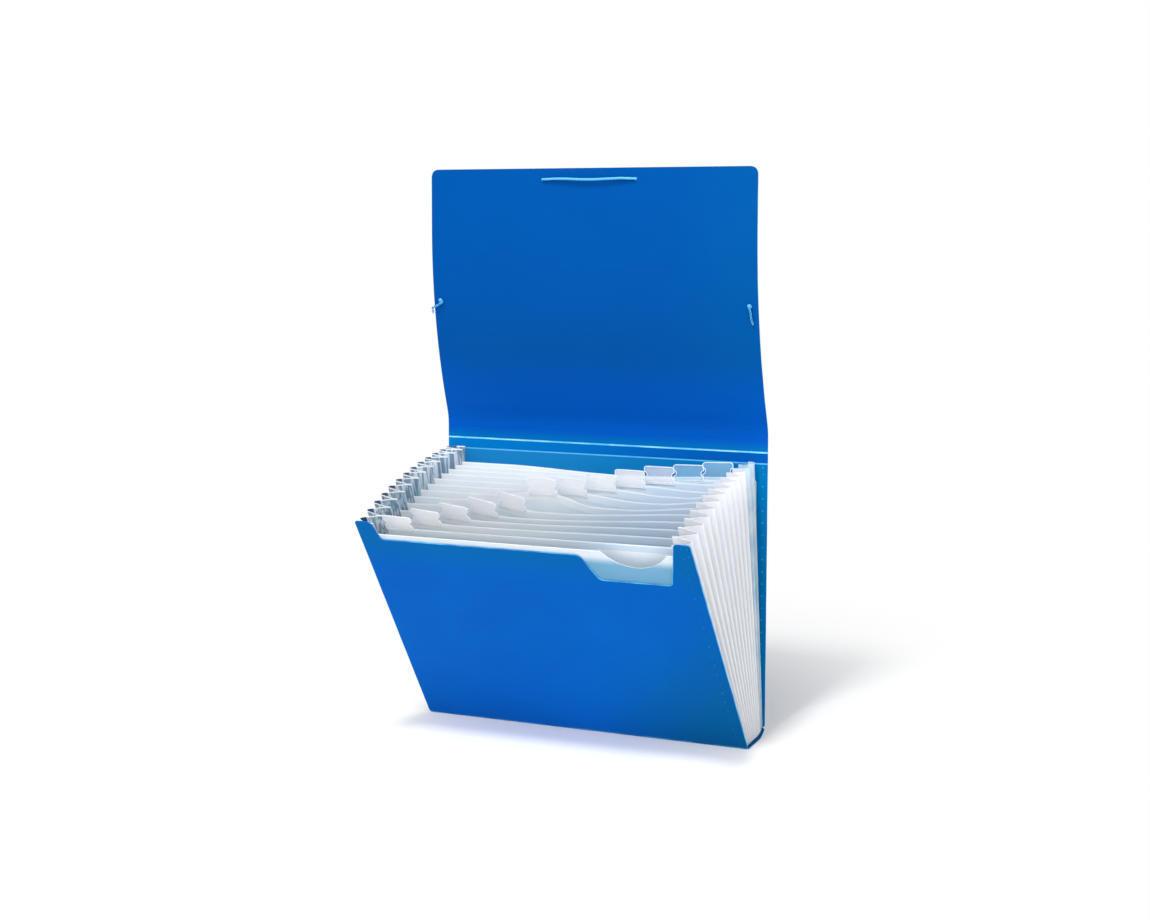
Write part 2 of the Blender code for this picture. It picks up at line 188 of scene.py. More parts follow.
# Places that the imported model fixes
JOINTS = {joint["name"]: joint for joint in frame["joints"]}
POCKETS = 1 + sum(name.startswith("divider_") for name in frame["nodes"])
FRONT_CREASE = Vector(JOINTS["pocket_01_opening"]["pos_m"])
BACK_CREASE = Vector(JOINTS[f"pocket_{POCKETS:02d}_opening"]["pos_m"])
LID_CREASES = [Vector(JOINTS[f"lid_crease_{number}"]["pos_m"]) for number in range(1, 5)]
SECOND_LINE = LID_CREASES[1].z
FLAP_FOOT = LID_CREASES[-1].z
HALF_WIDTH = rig.box("back_cover")[1].x
FAN_JOINT = "pocket_08_opening"
MIDDLE_POCKET = (POCKETS + 1) // 2

# Slots of the plastics and the elastic
COVER_SLOT = "blue_polypropylene"
LID_SLOT = "blue_lid_polypropylene"
FILM_SLOT = "frosted_polypropylene"
TAB_SLOT = "clear_tab_plastic"
CORD_SLOT = "blue_elastic"

# How the sheets stand
FRONT_LEAN = math.radians(25.0)
BACK_LEAN = math.radians(-8.0)
FLAT_BASE = 0.024
CREASE_GAP = 0.0006
BEAD_SHARE = 0.48

# Front cover
FRONT_HEIGHT = 0.237
TOP_EDGE = 0.217
NOTCH_FLOOR = 0.190
EAR_X = 0.1495
EAR_SLOPE = 0.006
NOTCH_LEFT = 0.0688
NOTCH_RIGHT = 0.1373
NOTCH_SLOPE = 0.0136
COVER_CORNER = 0.003
CUT_CORNER = 0.004

# Back cover and lid
BACK_HEIGHT = 0.240
STRIP_HEIGHT = 0.010
CREASE_WIDTHS = (0.0013, 0.0015, 0.0010, 0.0010)
WEB_SHARE = 0.7
FLAP_LENGTH = 0.2363
FLAP_FOOT_LEAN = math.radians(11.0)
FLAP_BEND_LENGTH = 0.180
FLAP_FOOT_ROUND = 0.008
FLAP_CORNER = 0.008
HOLE_RADIUS = 0.0013

# Pocket sheets
SHEET_FOOT = 0.0026
FIRST_TOP = 0.2225
FAN_LIFT = 0.007
WALL_HALF_WIDTH = 0.163
BACK_WALL_HALF_WIDTH = 0.1545
DIVIDER_HALF_WIDTH = 0.14805
WALL_OFFSET = 0.00085
SHEET_CORNER = 0.004
THUMB_X = 0.108
THUMB_HALF_WIDTH = 0.031
THUMB_DEPTH = 0.016

# Waves of the dividers, with one share of the full dip for each divider
DIPS = (0.12, 0.30, 0.52, 0.76, 0.80, 0.68, 0.54, 0.40, 0.28, 0.18, 0.10, 0.06)
DIP_START = -0.035
DIP_FLOOR = 0.030
DIP_END = 0.050
FIRST_REAR = 6
REAR_DIP_SHIFT = 0.035
STAND_REACH = 0.085
LIFT_REACH = 0.05
SAG_X = 0.03
SAG_REACH = 0.13
LAST_SAGS = {POCKETS - 2: 0.5, POCKETS - 1: 1.0}
WAVE_POWER = 1.8

# Pleats, with half a fold as (x, share of the way from the sheet in front to the sheet behind)
PLEAT_TOP = 0.2345
PLEAT_CLEAR = 0.0026
PLEAT_GAP = 0.00045
FLANGE_OFFSET = WALL_OFFSET + 0.0006
PLEAT_BLEND = 0.0062
PLEAT_DRAWN_IN = 0.57
CLEAR_PLEATS = 2
VALLEY_X = 0.1485
FOLD_X = 0.1545
FLANGE_X = 0.1555
RIDGE_X = 0.1635
PLEAT_FOLD = [
    (0.1425, 0.0), (0.1465, 0.0), (VALLEY_X, 0.015), (0.1500, 0.06), (0.1540, 0.17),
    (0.1585, 0.28), (0.1612, 0.335), (0.1626, 0.385), (0.1633, 0.44), (RIDGE_X, 0.5),
]
FLANGE_FOLD = [
    (0.1465, 0.0), (0.1510, 0.0), (FLANGE_X, 0.01), (0.1575, 0.06), (0.1595, 0.17),
    (0.1612, 0.29), (0.1622, 0.345), (0.1630, 0.395), (0.1634, 0.45), (RIDGE_X, 0.5),
]
# Shares of the pleats' height: the painted shade in the right valleys stops at SHADE_TOP, the painted shade in the left
# fold tips starts at TIP_START, and the top band at BAND_START.
SHADE_TOP = 0.9
TIP_START = 0.978
BAND_START = 0.996
PLEAT_ROWS = [step / 12 for step in range(12)] + [TIP_START, BAND_START, 1.0]

# Index tabs
TAB_FIRST_X = -0.12855
TAB_LAST_X = 0.12155
TAB_OFFSET = -0.00065
TAB_SLICES = 0.012
LAST_TABS = {POCKETS - 3: "tab_frosted", POCKETS - 2: "tab_clear", POCKETS - 1: "tab_clear"}
LAP_DOTS = 11
LAP_DOT_STEP = 0.075
LAP_DOT_DROP = 0.0012
LAP_DOT_RADIUS = 0.0006
LAP_DOT_HEIGHT = 0.0002

# Cord, with its holes as (x, length) on the flap and its tails as (x, length, offset)
CORD_HOLES = [(-0.1573, 0.1141), (-0.0470, 0.2263), (0.0475, 0.2263), (0.1573, 0.1141)]
CORD_OFFSET = 0.0018
TAIL_OFFSET = 0.0030
LEFT_TAIL = [
    (-0.1543, 0.1131, -TAIL_OFFSET), (-0.1603, 0.1101, -TAIL_OFFSET),
    (-0.1668, 0.1075, -0.0018), (-0.1672, 0.1020, -0.0005),
]
RIGHT_TAIL = [
    (0.1573, 0.1141, -TAIL_OFFSET), (0.1585, 0.1086, -TAIL_OFFSET),
    (0.1585, 0.1030, -0.0022), (0.1598, 0.0981, -0.0018),
]
CORD_BEND = 0.0014
CORD_SLACK = 0.0018
CORD_WANDER = 0.0005
WANDER_TURN = 9.0
TWIST_LENGTH = 0.0009
TWIST_REACH_SHARE = 0.62
TWIST_STRAND_SHARE = 0.40
KNOT_OFFSET = 0.0018
KNOT_REACH = 0.00055
KNOT_DEPTH = 0.0006
KNOT_STRAND_SHARE = 0.6

# Weld dots, with rows as (x, top, count) and single dots as (x, rise)
FRONT_DOT_ROW = (FLANGE_X, 0.2325, 20)
EAR_DOTS = [(0.1610, 0.2325), (0.1608, 0.2250)]
BACK_DOT_ROW = (0.1605, 0.2195, 19)
BACK_TOP_DOTS = [(0.1605, 0.2365), (0.1605, 0.2305)]
LEFT_TOP_DOTS = [(-0.1560, 0.2340), (-0.1560, 0.2280), (-0.1560, 0.2220)]
WELD_HEIGHT = 0.00025
DOT_RINGS = ((1.0, -0.3), (1.0, 0.1), (0.6, 0.8))

# Lines along which the flat sheets are sliced, as (first, last, steps)
COVER_ROWS = (0.02, 0.22, 10)
COVER_COLUMNS = (-0.15, 0.15, 10)
LID_COLUMNS = (-0.15, 0.15, 6)
FLAP_FOOT_ROWS = (0.001, 0.009, 8)
FLAP_ROWS = (0.010, 0.185, 35)

# Steps of the meshes
CORNER_STEPS = 6
FLAP_CORNER_STEPS = 10
HOLE_STEPS = 24
SPINE_FLAT_STEPS = 6
SPINE_CURVE_STEPS = 14
SPINE_COLUMNS = 12
BEAD_STEPS = 24
STRIP_STEPS = 6
WEB_ROWS = 8
WEB_COLUMNS = 16
WALL_STEPS = 6
WALL_COLUMNS = 24
THUMB_STEPS = 20
DIVIDER_STEPS = 12
DIVIDER_COLUMNS = 48
SHEET_CORNER_STEPS = 5
TAB_SLICE_STEPS = 6
BITE_STEPS = 10
DOT_SIDES = 10
CORD_SIDES = 12
RUN_STEPS = 8
WANDER_STEPS = 7
KNOT_STEPS = 60
KNOT_SIDES = 10
STRAND_SIDES = 8
SHARP = math.radians(38.0)
SLICE_SNAP = 1e-7

# Clouds, relief and sheen of the plastics
CLOUD_STOPS = (0.35, 0.65)
CLOUD_DETAIL = 3.0
FINE_DETAIL = 2.0
# Where the noise of the painted shade streaks goes from none to full.
STREAK_SHADE_RANGE = (0.43, 0.57)
GRAIN_SCALE = 1400.0
GRAIN_DEPTH = 0.00006
STREAK_STRETCH = (3.0, 60.0, 420.0)
STREAK_DEPTH = 0.0002
SHEEN_SCALE = 60.0
SHEEN_RANGE = (0.3, 0.7)
SHEEN_SPREAD = 0.05

# Braid of the elastic
BRAID_ROUGHNESS = 0.62
BRAID_GLOSS = 0.2
BRAID_STRETCHES = ((4.0, 2.5, 1.0), (4.0, -2.5, 1.0))
BRAID_DISTORTION = 0.4
BRAID_STOPS = (0.3, 0.8)
# Painted shade: the low places between the braid's strands are darker by this factor.
BRAID_GROOVE_SHADE = 0.7
BRAID_STRENGTH = 0.6
BRAID_DEPTH = 0.0003

# Floor, lamps as (name, place, size, power) and surroundings
FLOOR_RADIUS = 8.0
FLOOR_SIDES = 96
FLOOR_LEVEL = -0.0002
FLOOR_ROUGHNESS = 0.9
FLOOR_CLOUDS = 3.0
FLOOR_DARK = 0.985
SHADOW_MIDDLE = (0.0, 0.03, 0.0)
SHADOW_NEAR = 0.06
SHADOW_FAR = 0.45
LAMP_AIM = Vector((0.0, 0.0, 0.25))
LAMPS = (
    ("top_lamp", (0.0, -0.65, 2.2), 0.25, 25.0),
    ("key_lamp", (-0.20, -1.3, 1.9), 0.8, 15.0),
    ("side_lamp", (1.9, -0.9, 1.0), 1.5, 18.0),
    ("front_lamp", (-0.3, -2.3, 0.5), 1.8, 9.0),
)
WHITE = (1.0, 1.0, 1.0, 1.0)
SKY = (0.97, 0.98, 1.0, 1.0)
SKY_STRENGTH = 0.46

# Camera
EYE = Vector((0.9050, -1.6976, 0.7004))
EYE_AZIMUTH = math.radians(27.99)
EYE_ELEVATION = math.radians(13.09)
EYE_ROLL = math.radians(-3.63)
EYE_LENS = 68.56
EYE_SENSOR = 36.0
EYE_NEAR = 0.05
EYE_FAR = 60.0


def length_size(name, description, default):
    """One length that a user may change."""
    return FloatProperty(name=name, description=description, default=default, min=0.0, unit="LENGTH")


def finish_colour(name, description, default):
    """One colour that a user may change."""
    return FloatVectorProperty(
        name=name, description=description, default=default,
        subtype="COLOR", size=3, min=0.0, max=1.0,
    )


class FileSizes(bpy.types.PropertyGroup):
    """Sizes of the sheets, folds and trimmings."""

    cover_sheet: length_size("Cover sheet", "Thickness of the covers and the lid", 0.0008)
    film: length_size("Film", "Thickness of the pocket film", 0.0003)
    tab_sheet: length_size("Tab sheet", "Thickness of the index tabs", 0.0004)
    # Painted light: a pale band beside the front cover's cut edge, for light glowing along the edge of the sheet.
    glow_band: length_size("Cut band", "Light band along the cut edge of the front cover", 0.0005)
    # Partly the whitened cut edge of the film, partly painted highlight where the edge catches the light.
    edge_highlight_band: length_size("Film band", "White band along the cut edge of the film", 0.0013)
    # Painted light: the paler band down from the top of each divider stands for the light that catches it, above the
    # shaded film lower down.
    lit_band_depth: length_size("Film soft", "Depth of the paler band along the top of a divider", 0.0075)
    wave_forward: length_size("Wave forward", "How far a full dip of a divider leans forward", 0.007)
    wave_back: length_size("Wave back", "How far the rear dividers stand back at their tabs", 0.0024)
    wave_sag: length_size("Wave sag", "How far the edge of a divider sinks in a full dip", 0.006)
    wave_lift: length_size("Wave lift", "How far the first rear divider stands up at its tab", 0.0050)
    back_sag: length_size("Back sag", "How far the last divider and the back wall sag", 0.0040)
    tab_width: length_size("Tab width", "Width of an index tab", 0.030)
    tab_rise: length_size("Tab rise", "Height of an index tab above its divider", 0.0135)
    tab_lap: length_size("Tab lap", "Depth of the lap welded to the divider", 0.0028)
    tab_corner: length_size("Tab corner", "Corner radius of an index tab", 0.003)
    tab_bite: length_size("Tab bite", "Radius of the bite at each side of a tab", 0.0026)
    tab_neck: length_size("Tab neck", "Height of the bites above the divider", 0.0055)
    cord: length_size("Cord", "Diameter of the elastic cord", 0.0022)
    weld_dot: length_size("Weld dot", "Diameter of a weld dot", 0.0017)
    weld_pitch: length_size("Weld pitch", "Distance between weld dots", 0.011)


class FileColours(bpy.types.PropertyGroup):
    """Colours of the plastics, the elastic and the floor."""

    cover: finish_colour("Cover", "Blue of the front cover and the spine", (0.0, 0.119, 0.508))
    cover_tint: finish_colour("Cover tint", "Second blue, in broad clouds", (0.0, 0.104, 0.460))
    # Painted light: a greener blue fades in along the front cover's top, for the glow of light along its top edge.
    cover_top_glow: finish_colour("Cover top", "Greener blue along the front cover's top", (0.0, 0.124, 0.365))
    # Painted shade: a darker green blue towards the front cover's right side and its lower right corner.
    cover_shade: finish_colour("Cover shade", "Green blue at the cover's lower right", (0.0, 0.100, 0.290))
    inside: finish_colour("Inside", "Milky blue inside the back cover", (0.010, 0.200, 0.490))
    # Painted shade: a deeper blue towards the right of the back cover's inside.
    inside_right_shade: finish_colour("Inside right", "Deeper blue at the back cover's right", (0.0, 0.158, 0.410))
    lid: finish_colour("Lid", "Blue of the lid", (0.0, 0.072, 0.312))
    lid_tint: finish_colour("Lid tint", "Second lid blue, in broad clouds", (0.0, 0.068, 0.298))
    # Painted light: a purer, lighter blue low on the lid, where the bowed foot of the flap catches light.
    lid_low_light: finish_colour("Lid low", "Purer blue low on the lid", (0.0, 0.083, 0.432))
    # Painted light: a greener, slightly lighter blue along the lid's right side.
    lid_right_light: finish_colour("Lid right", "Greener blue at the lid's right side", (0.0, 0.084, 0.300))
    # Painted light: the first strip, between the two scored lines, is a lighter blue than the lid, for the light that
    # it catches.
    strip: finish_colour("Strip", "Blue between the two scored lines", (0.0, 0.168, 0.500))
    # Painted shade: a darker blue towards the right of the first strip.
    strip_right: finish_colour("Strip right", "Blue between the lines at the right", (0.0, 0.088, 0.390))
    # Painted light: a light blue glow fading in just above the second scored line.
    strip_light: finish_colour("Strip glow", "Light blue above the second line", (0.0, 0.134, 0.420))
    # Painted light: pale blue on the sheets' cut edges and the band beside them, for light glowing along the edges.
    edge_glow: finish_colour("Cut edge", "Pale blue of a cut edge", (0.11, 0.52, 0.82))
    crease: finish_colour("Crease", "Pale blue of the upper scored line", (0.30, 0.74, 0.92))
    crease_deep: finish_colour("Lower crease", "Blue of the lower scored line", (0.10, 0.46, 0.82))
    film: finish_colour("Film", "Frosted white of the dividers", (0.880, 0.950, 1.000))
    film_tint: finish_colour("Film tint", "Second film white", (0.910, 0.965, 1.000))
    # Painted shade: bluer, darker film towards the right side of the fan.
    film_right_shade: finish_colour("Film right", "Bluer film towards the right side", (0.660, 0.810, 0.950))
    # Painted shade: the front wall fades to a deeper blue below the top of the notch, for the shade down inside it.
    wall_blue: finish_colour("Wall blue", "Blue of the front wall inside the notch", (0.17, 0.46, 0.68))
    pleat: finish_colour("Pleat", "White of the pleated sides", (0.945, 0.960, 1.000))
    pleat_tint: finish_colour("Pleat tint", "Second pleat white", (0.965, 0.975, 1.000))
    # Painted shade: the left pleats are the same film as the right ones, painted a darker blue for the shade on that
    # side.
    pleat_left_shade: finish_colour("Pleat left", "Pale blue of the left pleats", (0.500, 0.720, 0.850))
    # Painted shade: lilac grey in the right pleats' valleys, which face away from the light.
    pleat_shade: finish_colour("Pleat shade", "Lilac grey in the right pleats' valleys", (0.70, 0.74, 0.84))
    # Painted shade: slate streaks down the left pleats, for the shaded inner faces of the folds.
    pleat_streak_shade: finish_colour("Pleat slate", "Slate streaks down the left pleats", (0.22, 0.36, 0.48))
    pleat_back: finish_colour("Pleat back", "Blue of the last pleats at the right", (0.48, 0.72, 0.87))
    # Painted shade: near-black slate inside the tips of the left folds.
    pleat_tip_shade: finish_colour("Pleat inside", "Slate inside the tip of a left fold", (0.05, 0.09, 0.15))
    # Partly the whitened cut edge of the film, partly painted highlight where the edge catches the light.
    film_edge_highlight: finish_colour("Film edge", "White of a cut film edge", (0.970, 0.990, 1.000))
    tab: finish_colour("Tab", "Milky white of the index tabs", (0.97, 0.98, 0.99))
    tab_blue: finish_colour("Tab blue", "Blue of the rear index tabs", (0.52, 0.86, 1.0))
    elastic: finish_colour("Elastic", "Light blue of the cord", (0.11, 0.50, 0.85))
    weld: finish_colour("Weld", "Blue of a weld dot on the front cover", (0.0, 0.20, 0.60))
    weld_light: finish_colour("Weld light", "Light blue of a weld dot on the back cover", (0.05, 0.32, 0.58))
    floor: finish_colour("Floor", "White of the floor", (0.93, 0.93, 0.93))


def along(lean):
    """Direction up a sheet that leans forward by this angle."""
    return Vector((0.0, -math.sin(lean), math.cos(lean)))


def across(lean):
    """Direction out of the back of a sheet that leans forward by this angle."""
    return Vector((0.0, math.cos(lean), math.sin(lean)))


def sheet_lean(index):
    """Lean of cover or divider number index, counted from the front cover."""
    return FRONT_LEAN + (BACK_LEAN - FRONT_LEAN) * index / POCKETS


def sheet_foot(index):
    """Foot of cover or divider number index."""
    return FRONT_CREASE.lerp(BACK_CREASE, index / POCKETS)


def sheet_top(index):
    """Height of the top edge of divider number index."""
    return FIRST_TOP + FAN_LIFT * index / POCKETS


def sheet_place(index, wave=None, shift=0.0):
    """Function that puts (x, rise, offset) on sheet number index, waved and shifted back if asked."""
    foot = sheet_foot(index)
    up = along(sheet_lean(index))
    back = across(sheet_lean(index))

    def place(x, rise, offset):
        lift, bow = wave(x, rise) if wave else (0.0, 0.0)
        return foot + Vector((x, 0.0, 0.0)) + up * (rise + lift) + back * (offset + shift + bow)

    return place


def smooth_step(low, high, value):
    """Smooth step from 0 at low to 1 at high."""
    share = min(max((value - low) / (high - low), 0.0), 1.0)
    return share * share * (3.0 - 2.0 * share)


def tab_centre(index):
    """Middle of the index tab on divider number index."""
    return TAB_FIRST_X + (TAB_LAST_X - TAB_FIRST_X) * (index - 1) / (POCKETS - 2)


def swell(x, middle, reach):
    """Round bump of height 1 at middle, with a reach to each side."""
    return math.cos(min(abs(x - middle) / reach, 1.0) * math.pi / 2) ** 2


def dip(x, middle):
    """Step from 0 to 1 about middle that eases back to 0 at the right side."""
    falling = smooth_step(middle + DIP_START, middle + DIP_FLOOR, x)
    return falling * smooth_step(DIVIDER_HALF_WIDTH, middle + DIP_END, x)


def divider_wave(sizes, index):
    """Function of (x, rise) that gives how far divider number index lifts and how far it bows back.

    The dividers dip forward past their tabs, most of all in the middle of the fan.
    The rear ones stand back at their tabs, and the first of them stands up as well.
    The last two sag a little along the middle, and the back wall with them.
    """
    top = sheet_top(index)
    middle = tab_centre(index)
    rear = index >= FIRST_REAR
    dip_middle = middle + REAR_DIP_SHIFT if rear else middle
    reach = LIFT_REACH if index == FIRST_REAR else STAND_REACH
    raised = sizes.wave_lift if index == FIRST_REAR else 0.0
    bowed = sizes.wave_back if rear else 0.0
    slack = sizes.back_sag * LAST_SAGS.get(index, 0.0)

    def wave(x, rise):
        share = (rise / top) ** WAVE_POWER
        fall = DIPS[index - 1] * dip(x, dip_middle)
        stand = swell(x, middle, reach)
        lift = raised * stand - sizes.wave_sag * fall - slack * swell(x, SAG_X, SAG_REACH)
        bow = bowed * stand - sizes.wave_forward * fall
        return lift * share, bow * share

    return wave


def flap_place(x, length, offset):
    """Point on the bowed flap at a length up it and a distance behind it."""
    rate = (BACK_LEAN - FLAP_FOOT_LEAN) / FLAP_BEND_LENGTH
    bent = min(length, FLAP_BEND_LENGTH)
    lean = FLAP_FOOT_LEAN + rate * bent
    straight = length - bent
    y = (math.cos(lean) - math.cos(FLAP_FOOT_LEAN)) / rate
    z = (math.sin(lean) - math.sin(FLAP_FOOT_LEAN)) / rate
    start = LID_CREASES[-1] + Vector((x, y, z))
    return start + along(lean) * straight + across(lean) * (offset - foot_round(length))


def foot_round(length):
    """How far the round bend at the flap's foot lies in front of the sharp one."""
    past = max(FLAP_FOOT_ROUND - abs(length), 0.0)
    return math.tan(FLAP_FOOT_LEAN - BACK_LEAN) * past ** 2 / (4 * FLAP_FOOT_ROUND)


def spaced(low, high, count):
    """Evenly spaced values, both ends included."""
    return [low + (high - low) * step / count for step in range(count + 1)]


def neighbours(line, number, closed=False):
    """Items before and after item number of a line, or the item itself at an open end."""
    if closed:
        return line[number - 1], line[(number + 1) % len(line)]
    return line[max(number - 1, 0)], line[min(number + 1, len(line) - 1)]


def circle(side, other, count):
    """Directions round a circle that starts at side and turns towards other."""
    angles = [2 * math.pi * step / count for step in range(count)]
    return [side * math.cos(angle) + other * math.sin(angle) for angle in angles]


def bend(start, corner, end, steps):
    """Points of a round bend from start to end inside a corner."""
    shares = spaced(0.0, 1.0, steps)
    return [start.lerp(corner, share).lerp(corner.lerp(end, share), share) for share in shares]


def round_corners(points, radii, steps=CORNER_STEPS):
    """Outline with its corners rounded; radii gives one radius for each point."""
    corners = [Vector(point) for point in points]
    outline = []
    for number, (corner, radius) in enumerate(zip(corners, radii)):
        if radius == 0.0:
            outline.append(tuple(corner))
            continue
        before, after = neighbours(corners, number, closed=True)
        start = corner + (before - corner).normalized() * radius
        end = corner + (after - corner).normalized() * radius
        outline += [tuple(point) for point in bend(start, corner, end, steps)]
    return outline


def sheet_corners(low, high):
    """Corners of a plain sheet as wide as the covers, its two lower ones first."""
    return [(-HALF_WIDTH, low), (HALF_WIDTH, low), (HALF_WIDTH, high), (-HALF_WIDTH, high)]


def new_piece(name, bm, finishes, slot, nodes=()):
    """Object made from a working mesh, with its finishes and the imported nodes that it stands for."""
    bmesh.ops.recalc_face_normals(bm, faces=bm.faces)
    mesh = bpy.data.meshes.new(name)
    bm.to_mesh(mesh)
    bm.free()
    for finish in finishes:
        mesh.materials.append(finish_of(finish))
    mesh.polygons.foreach_set("use_smooth", [True] * len(mesh.polygons))
    mesh.set_sharp_from_angle(angle=SHARP)
    piece = bpy.data.objects.new(name, mesh)
    bpy.context.scene.collection.objects.link(piece)
    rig.slot(piece, slot)
    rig.replaces(piece, *nodes)
    return piece


def slice_sheet(bm, axis, places):
    """Cut a flat working mesh along lines, so that it can bend there."""
    normal = Vector(axis)
    for place in places:
        geometry = bm.verts[:] + bm.edges[:] + bm.faces[:]
        bmesh.ops.bisect_plane(bm, geom=geometry, dist=SLICE_SNAP, plane_co=normal * place, plane_no=normal)


def cut_sheet(outline, thickness, place, holes=(), band=0.0, rows=(), columns=()):
    """Working mesh of a sheet cut to an outline of (x, rise).

    Its cut edges, and a band beside them if one is given, get the second finish.
    """
    bm = bmesh.new()
    edges = []
    for loop in (outline, *holes):
        verts = [bm.verts.new((x, -thickness / 2, rise)) for x, rise in loop]
        edges += [bm.edges.new(pair) for pair in zip(verts, verts[1:] + verts[:1])]
    bmesh.ops.triangle_fill(bm, use_beauty=True, use_dissolve=False, edges=edges, normal=(0.0, -1.0, 0.0))
    if band:
        grown = bmesh.ops.inset_region(
            bm, faces=bm.faces[:], thickness=band, use_boundary=True, use_even_offset=True,
        )
        for face in grown["faces"]:
            face.material_index = 1
    slice_sheet(bm, (0.0, 0.0, 1.0), rows)
    slice_sheet(bm, (1.0, 0.0, 0.0), columns)
    grown = bmesh.ops.extrude_face_region(bm, geom=bm.faces[:])
    moved = [part for part in grown["geom"] if isinstance(part, bmesh.types.BMVert)]
    bmesh.ops.translate(bm, vec=(0.0, thickness, 0.0), verts=moved)
    bm.normal_update()
    for face in bm.faces:
        if abs(face.normal.y) < 0.5:
            face.material_index = 1
    for vert in bm.verts:
        x, offset, rise = vert.co
        vert.co = place(x, rise, offset)
    return bm


def shell(grid, thickness, look=None):
    """Working mesh of a thin closed sheet through a grid of points.

    The function look picks the finish of a cell by its side, row and column.
    """
    def slope(line, number):
        before, after = neighbours(line, number)
        return after - before

    bm = bmesh.new()
    height, width = len(grid), len(grid[0])
    columns = list(zip(*grid))
    layers = []
    for side in (-0.5, 0.5):
        layer = {}
        for row in range(height):
            for column in range(width):
                normal = slope(grid[row], column).cross(slope(columns[column], row)).normalized()
                layer[row, column] = bm.verts.new(grid[row][column] + normal * (side * thickness))
        layers.append(layer)
    for side, layer in enumerate(layers):
        for row in range(height - 1):
            for column in range(width - 1):
                cell = ((row, column), (row, column + 1), (row + 1, column + 1), (row + 1, column))
                face = bm.faces.new([layer[corner] for corner in cell])
                face.material_index = look(side, row, column) if look else 0
    rim = [(0, column) for column in range(width)]
    rim += [(row, width - 1) for row in range(1, height)]
    rim += [(height - 1, column) for column in range(width - 2, -1, -1)]
    rim += [(row, 0) for row in range(height - 2, 0, -1)]
    front, back = layers
    for first, second in zip(rim, rim[1:] + rim[:1]):
        face = bm.faces.new((front[first], front[second], back[second], back[first]))
        face.material_index = 1
    return bm


def tube(bm, points, radius, sides=CORD_SIDES, closed=False):
    """Round cord along points, added to a working mesh, with its turn and length kept as a map."""
    turns = bm.loops.layers.uv.verify()
    side = (points[1] - points[0]).orthogonal().normalized()
    rings = []
    travels = [0.0]
    for number, point in enumerate(points):
        before, after = neighbours(points, number, closed)
        ahead = (after - before).normalized()
        side = (side - ahead * side.dot(ahead)).normalized()
        ways = circle(side, ahead.cross(side), sides)
        rings.append([bm.verts.new(point + way * radius) for way in ways])
        if number:
            travels.append(travels[-1] + (point - points[number - 1]).length)
    girth = 2 * math.pi * radius
    for number, (low, high) in enumerate(zip(rings, rings[1:])):
        for step in range(sides):
            follow = (step + 1) % sides
            face = bm.faces.new((low[step], low[follow], high[follow], high[step]))
            corners = ((step, number), (step + 1, number), (step + 1, number + 1), (step, number + 1))
            for loop, (turn, place) in zip(face.loops, corners):
                loop[turns].uv = (turn / sides, travels[place] / girth)
    if closed:
        join_ends(bm, rings[0], rings[-1])
    else:
        cap_end(bm, rings[0], points[0] - points[1], radius)
        cap_end(bm, rings[-1], points[-1] - points[-2], radius)


def join_ends(bm, first, last):
    """Faces between the last ring of a closed tube and its first, with the least twist."""
    gaps = [(vert.co - last[0].co).length for vert in first]
    shift = gaps.index(min(gaps))
    turned = first[shift:] + first[:shift]
    for step in range(len(last)):
        follow = (step + 1) % len(last)
        bm.faces.new((last[step], last[follow], turned[follow], turned[step]))


def cap_end(bm, ring, out, radius):
    """Low cone over the end of a tube."""
    middle = sum((vert.co for vert in ring), Vector()) / len(ring)
    tip = bm.verts.new(middle + out.normalized() * (radius * 0.5))
    for vert, follow in zip(ring, ring[1:] + ring[:1]):
        bm.faces.new((vert, follow, tip))


def add_node(tree, kind, **inputs):
    """Shader node with some of its inputs set."""
    node = tree.nodes.new(kind)
    for name, value in inputs.items():
        node.inputs[name.replace("_", " ")].default_value = value
    return node


def add_noise(tree, source, scale, detail, stretch=(1.0, 1.0, 1.0)):
    """Noise over the object's own coordinates, stretched along each axis."""
    mapping = add_node(tree, "ShaderNodeMapping", Scale=stretch)
    noise = add_node(tree, "ShaderNodeTexNoise", Scale=scale, Detail=detail)
    tree.links.new(source.outputs["Object"], mapping.inputs["Vector"])
    tree.links.new(mapping.outputs["Vector"], noise.inputs["Vector"])
    return noise.outputs["Fac"]


def add_remap(tree, value, start, end, low, high, smooth=False):
    """Value carried from the range start to end over to the range low to high."""
    remap = add_node(tree, "ShaderNodeMapRange", From_Min=start, From_Max=end, To_Min=low, To_Max=high)
    if smooth:
        remap.interpolation_type = "SMOOTHSTEP"
    tree.links.new(value, remap.inputs["Value"])
    return remap.outputs["Result"]


def add_ramp(tree, source, stops, colours):
    """Colour ramp from one colour to another between two stops."""
    ramp = tree.nodes.new("ShaderNodeValToRGB")
    for element, position, colour in zip(ramp.color_ramp.elements, stops, colours):
        element.position = position
        element.color = (*colour, 1.0)
    tree.links.new(source, ramp.inputs["Fac"])
    return ramp.outputs["Color"]


def add_mix(tree, factor, tone, colour):
    """Mix of a tone from the tree with a plain colour."""
    mix = tree.nodes.new("ShaderNodeMix")
    mix.data_type = "RGBA"
    tree.links.new(factor, mix.inputs[0])
    tree.links.new(tone, mix.inputs[6])
    mix.inputs[7].default_value = (*colour, 1.0)
    return mix.outputs[2]


def add_math(tree, operation, first, second):
    """Sum, product or the like of two values."""
    node = tree.nodes.new("ShaderNodeMath")
    node.operation = operation
    tree.links.new(first, node.inputs[0])
    tree.links.new(second, node.inputs[1])
    return node.outputs["Value"]


def add_bump(tree, height, strength, distance):
    """Relief that follows a height."""
    relief = add_node(tree, "ShaderNodeBump", Strength=strength, Distance=distance)
    tree.links.new(height, relief.inputs["Height"])
    return relief


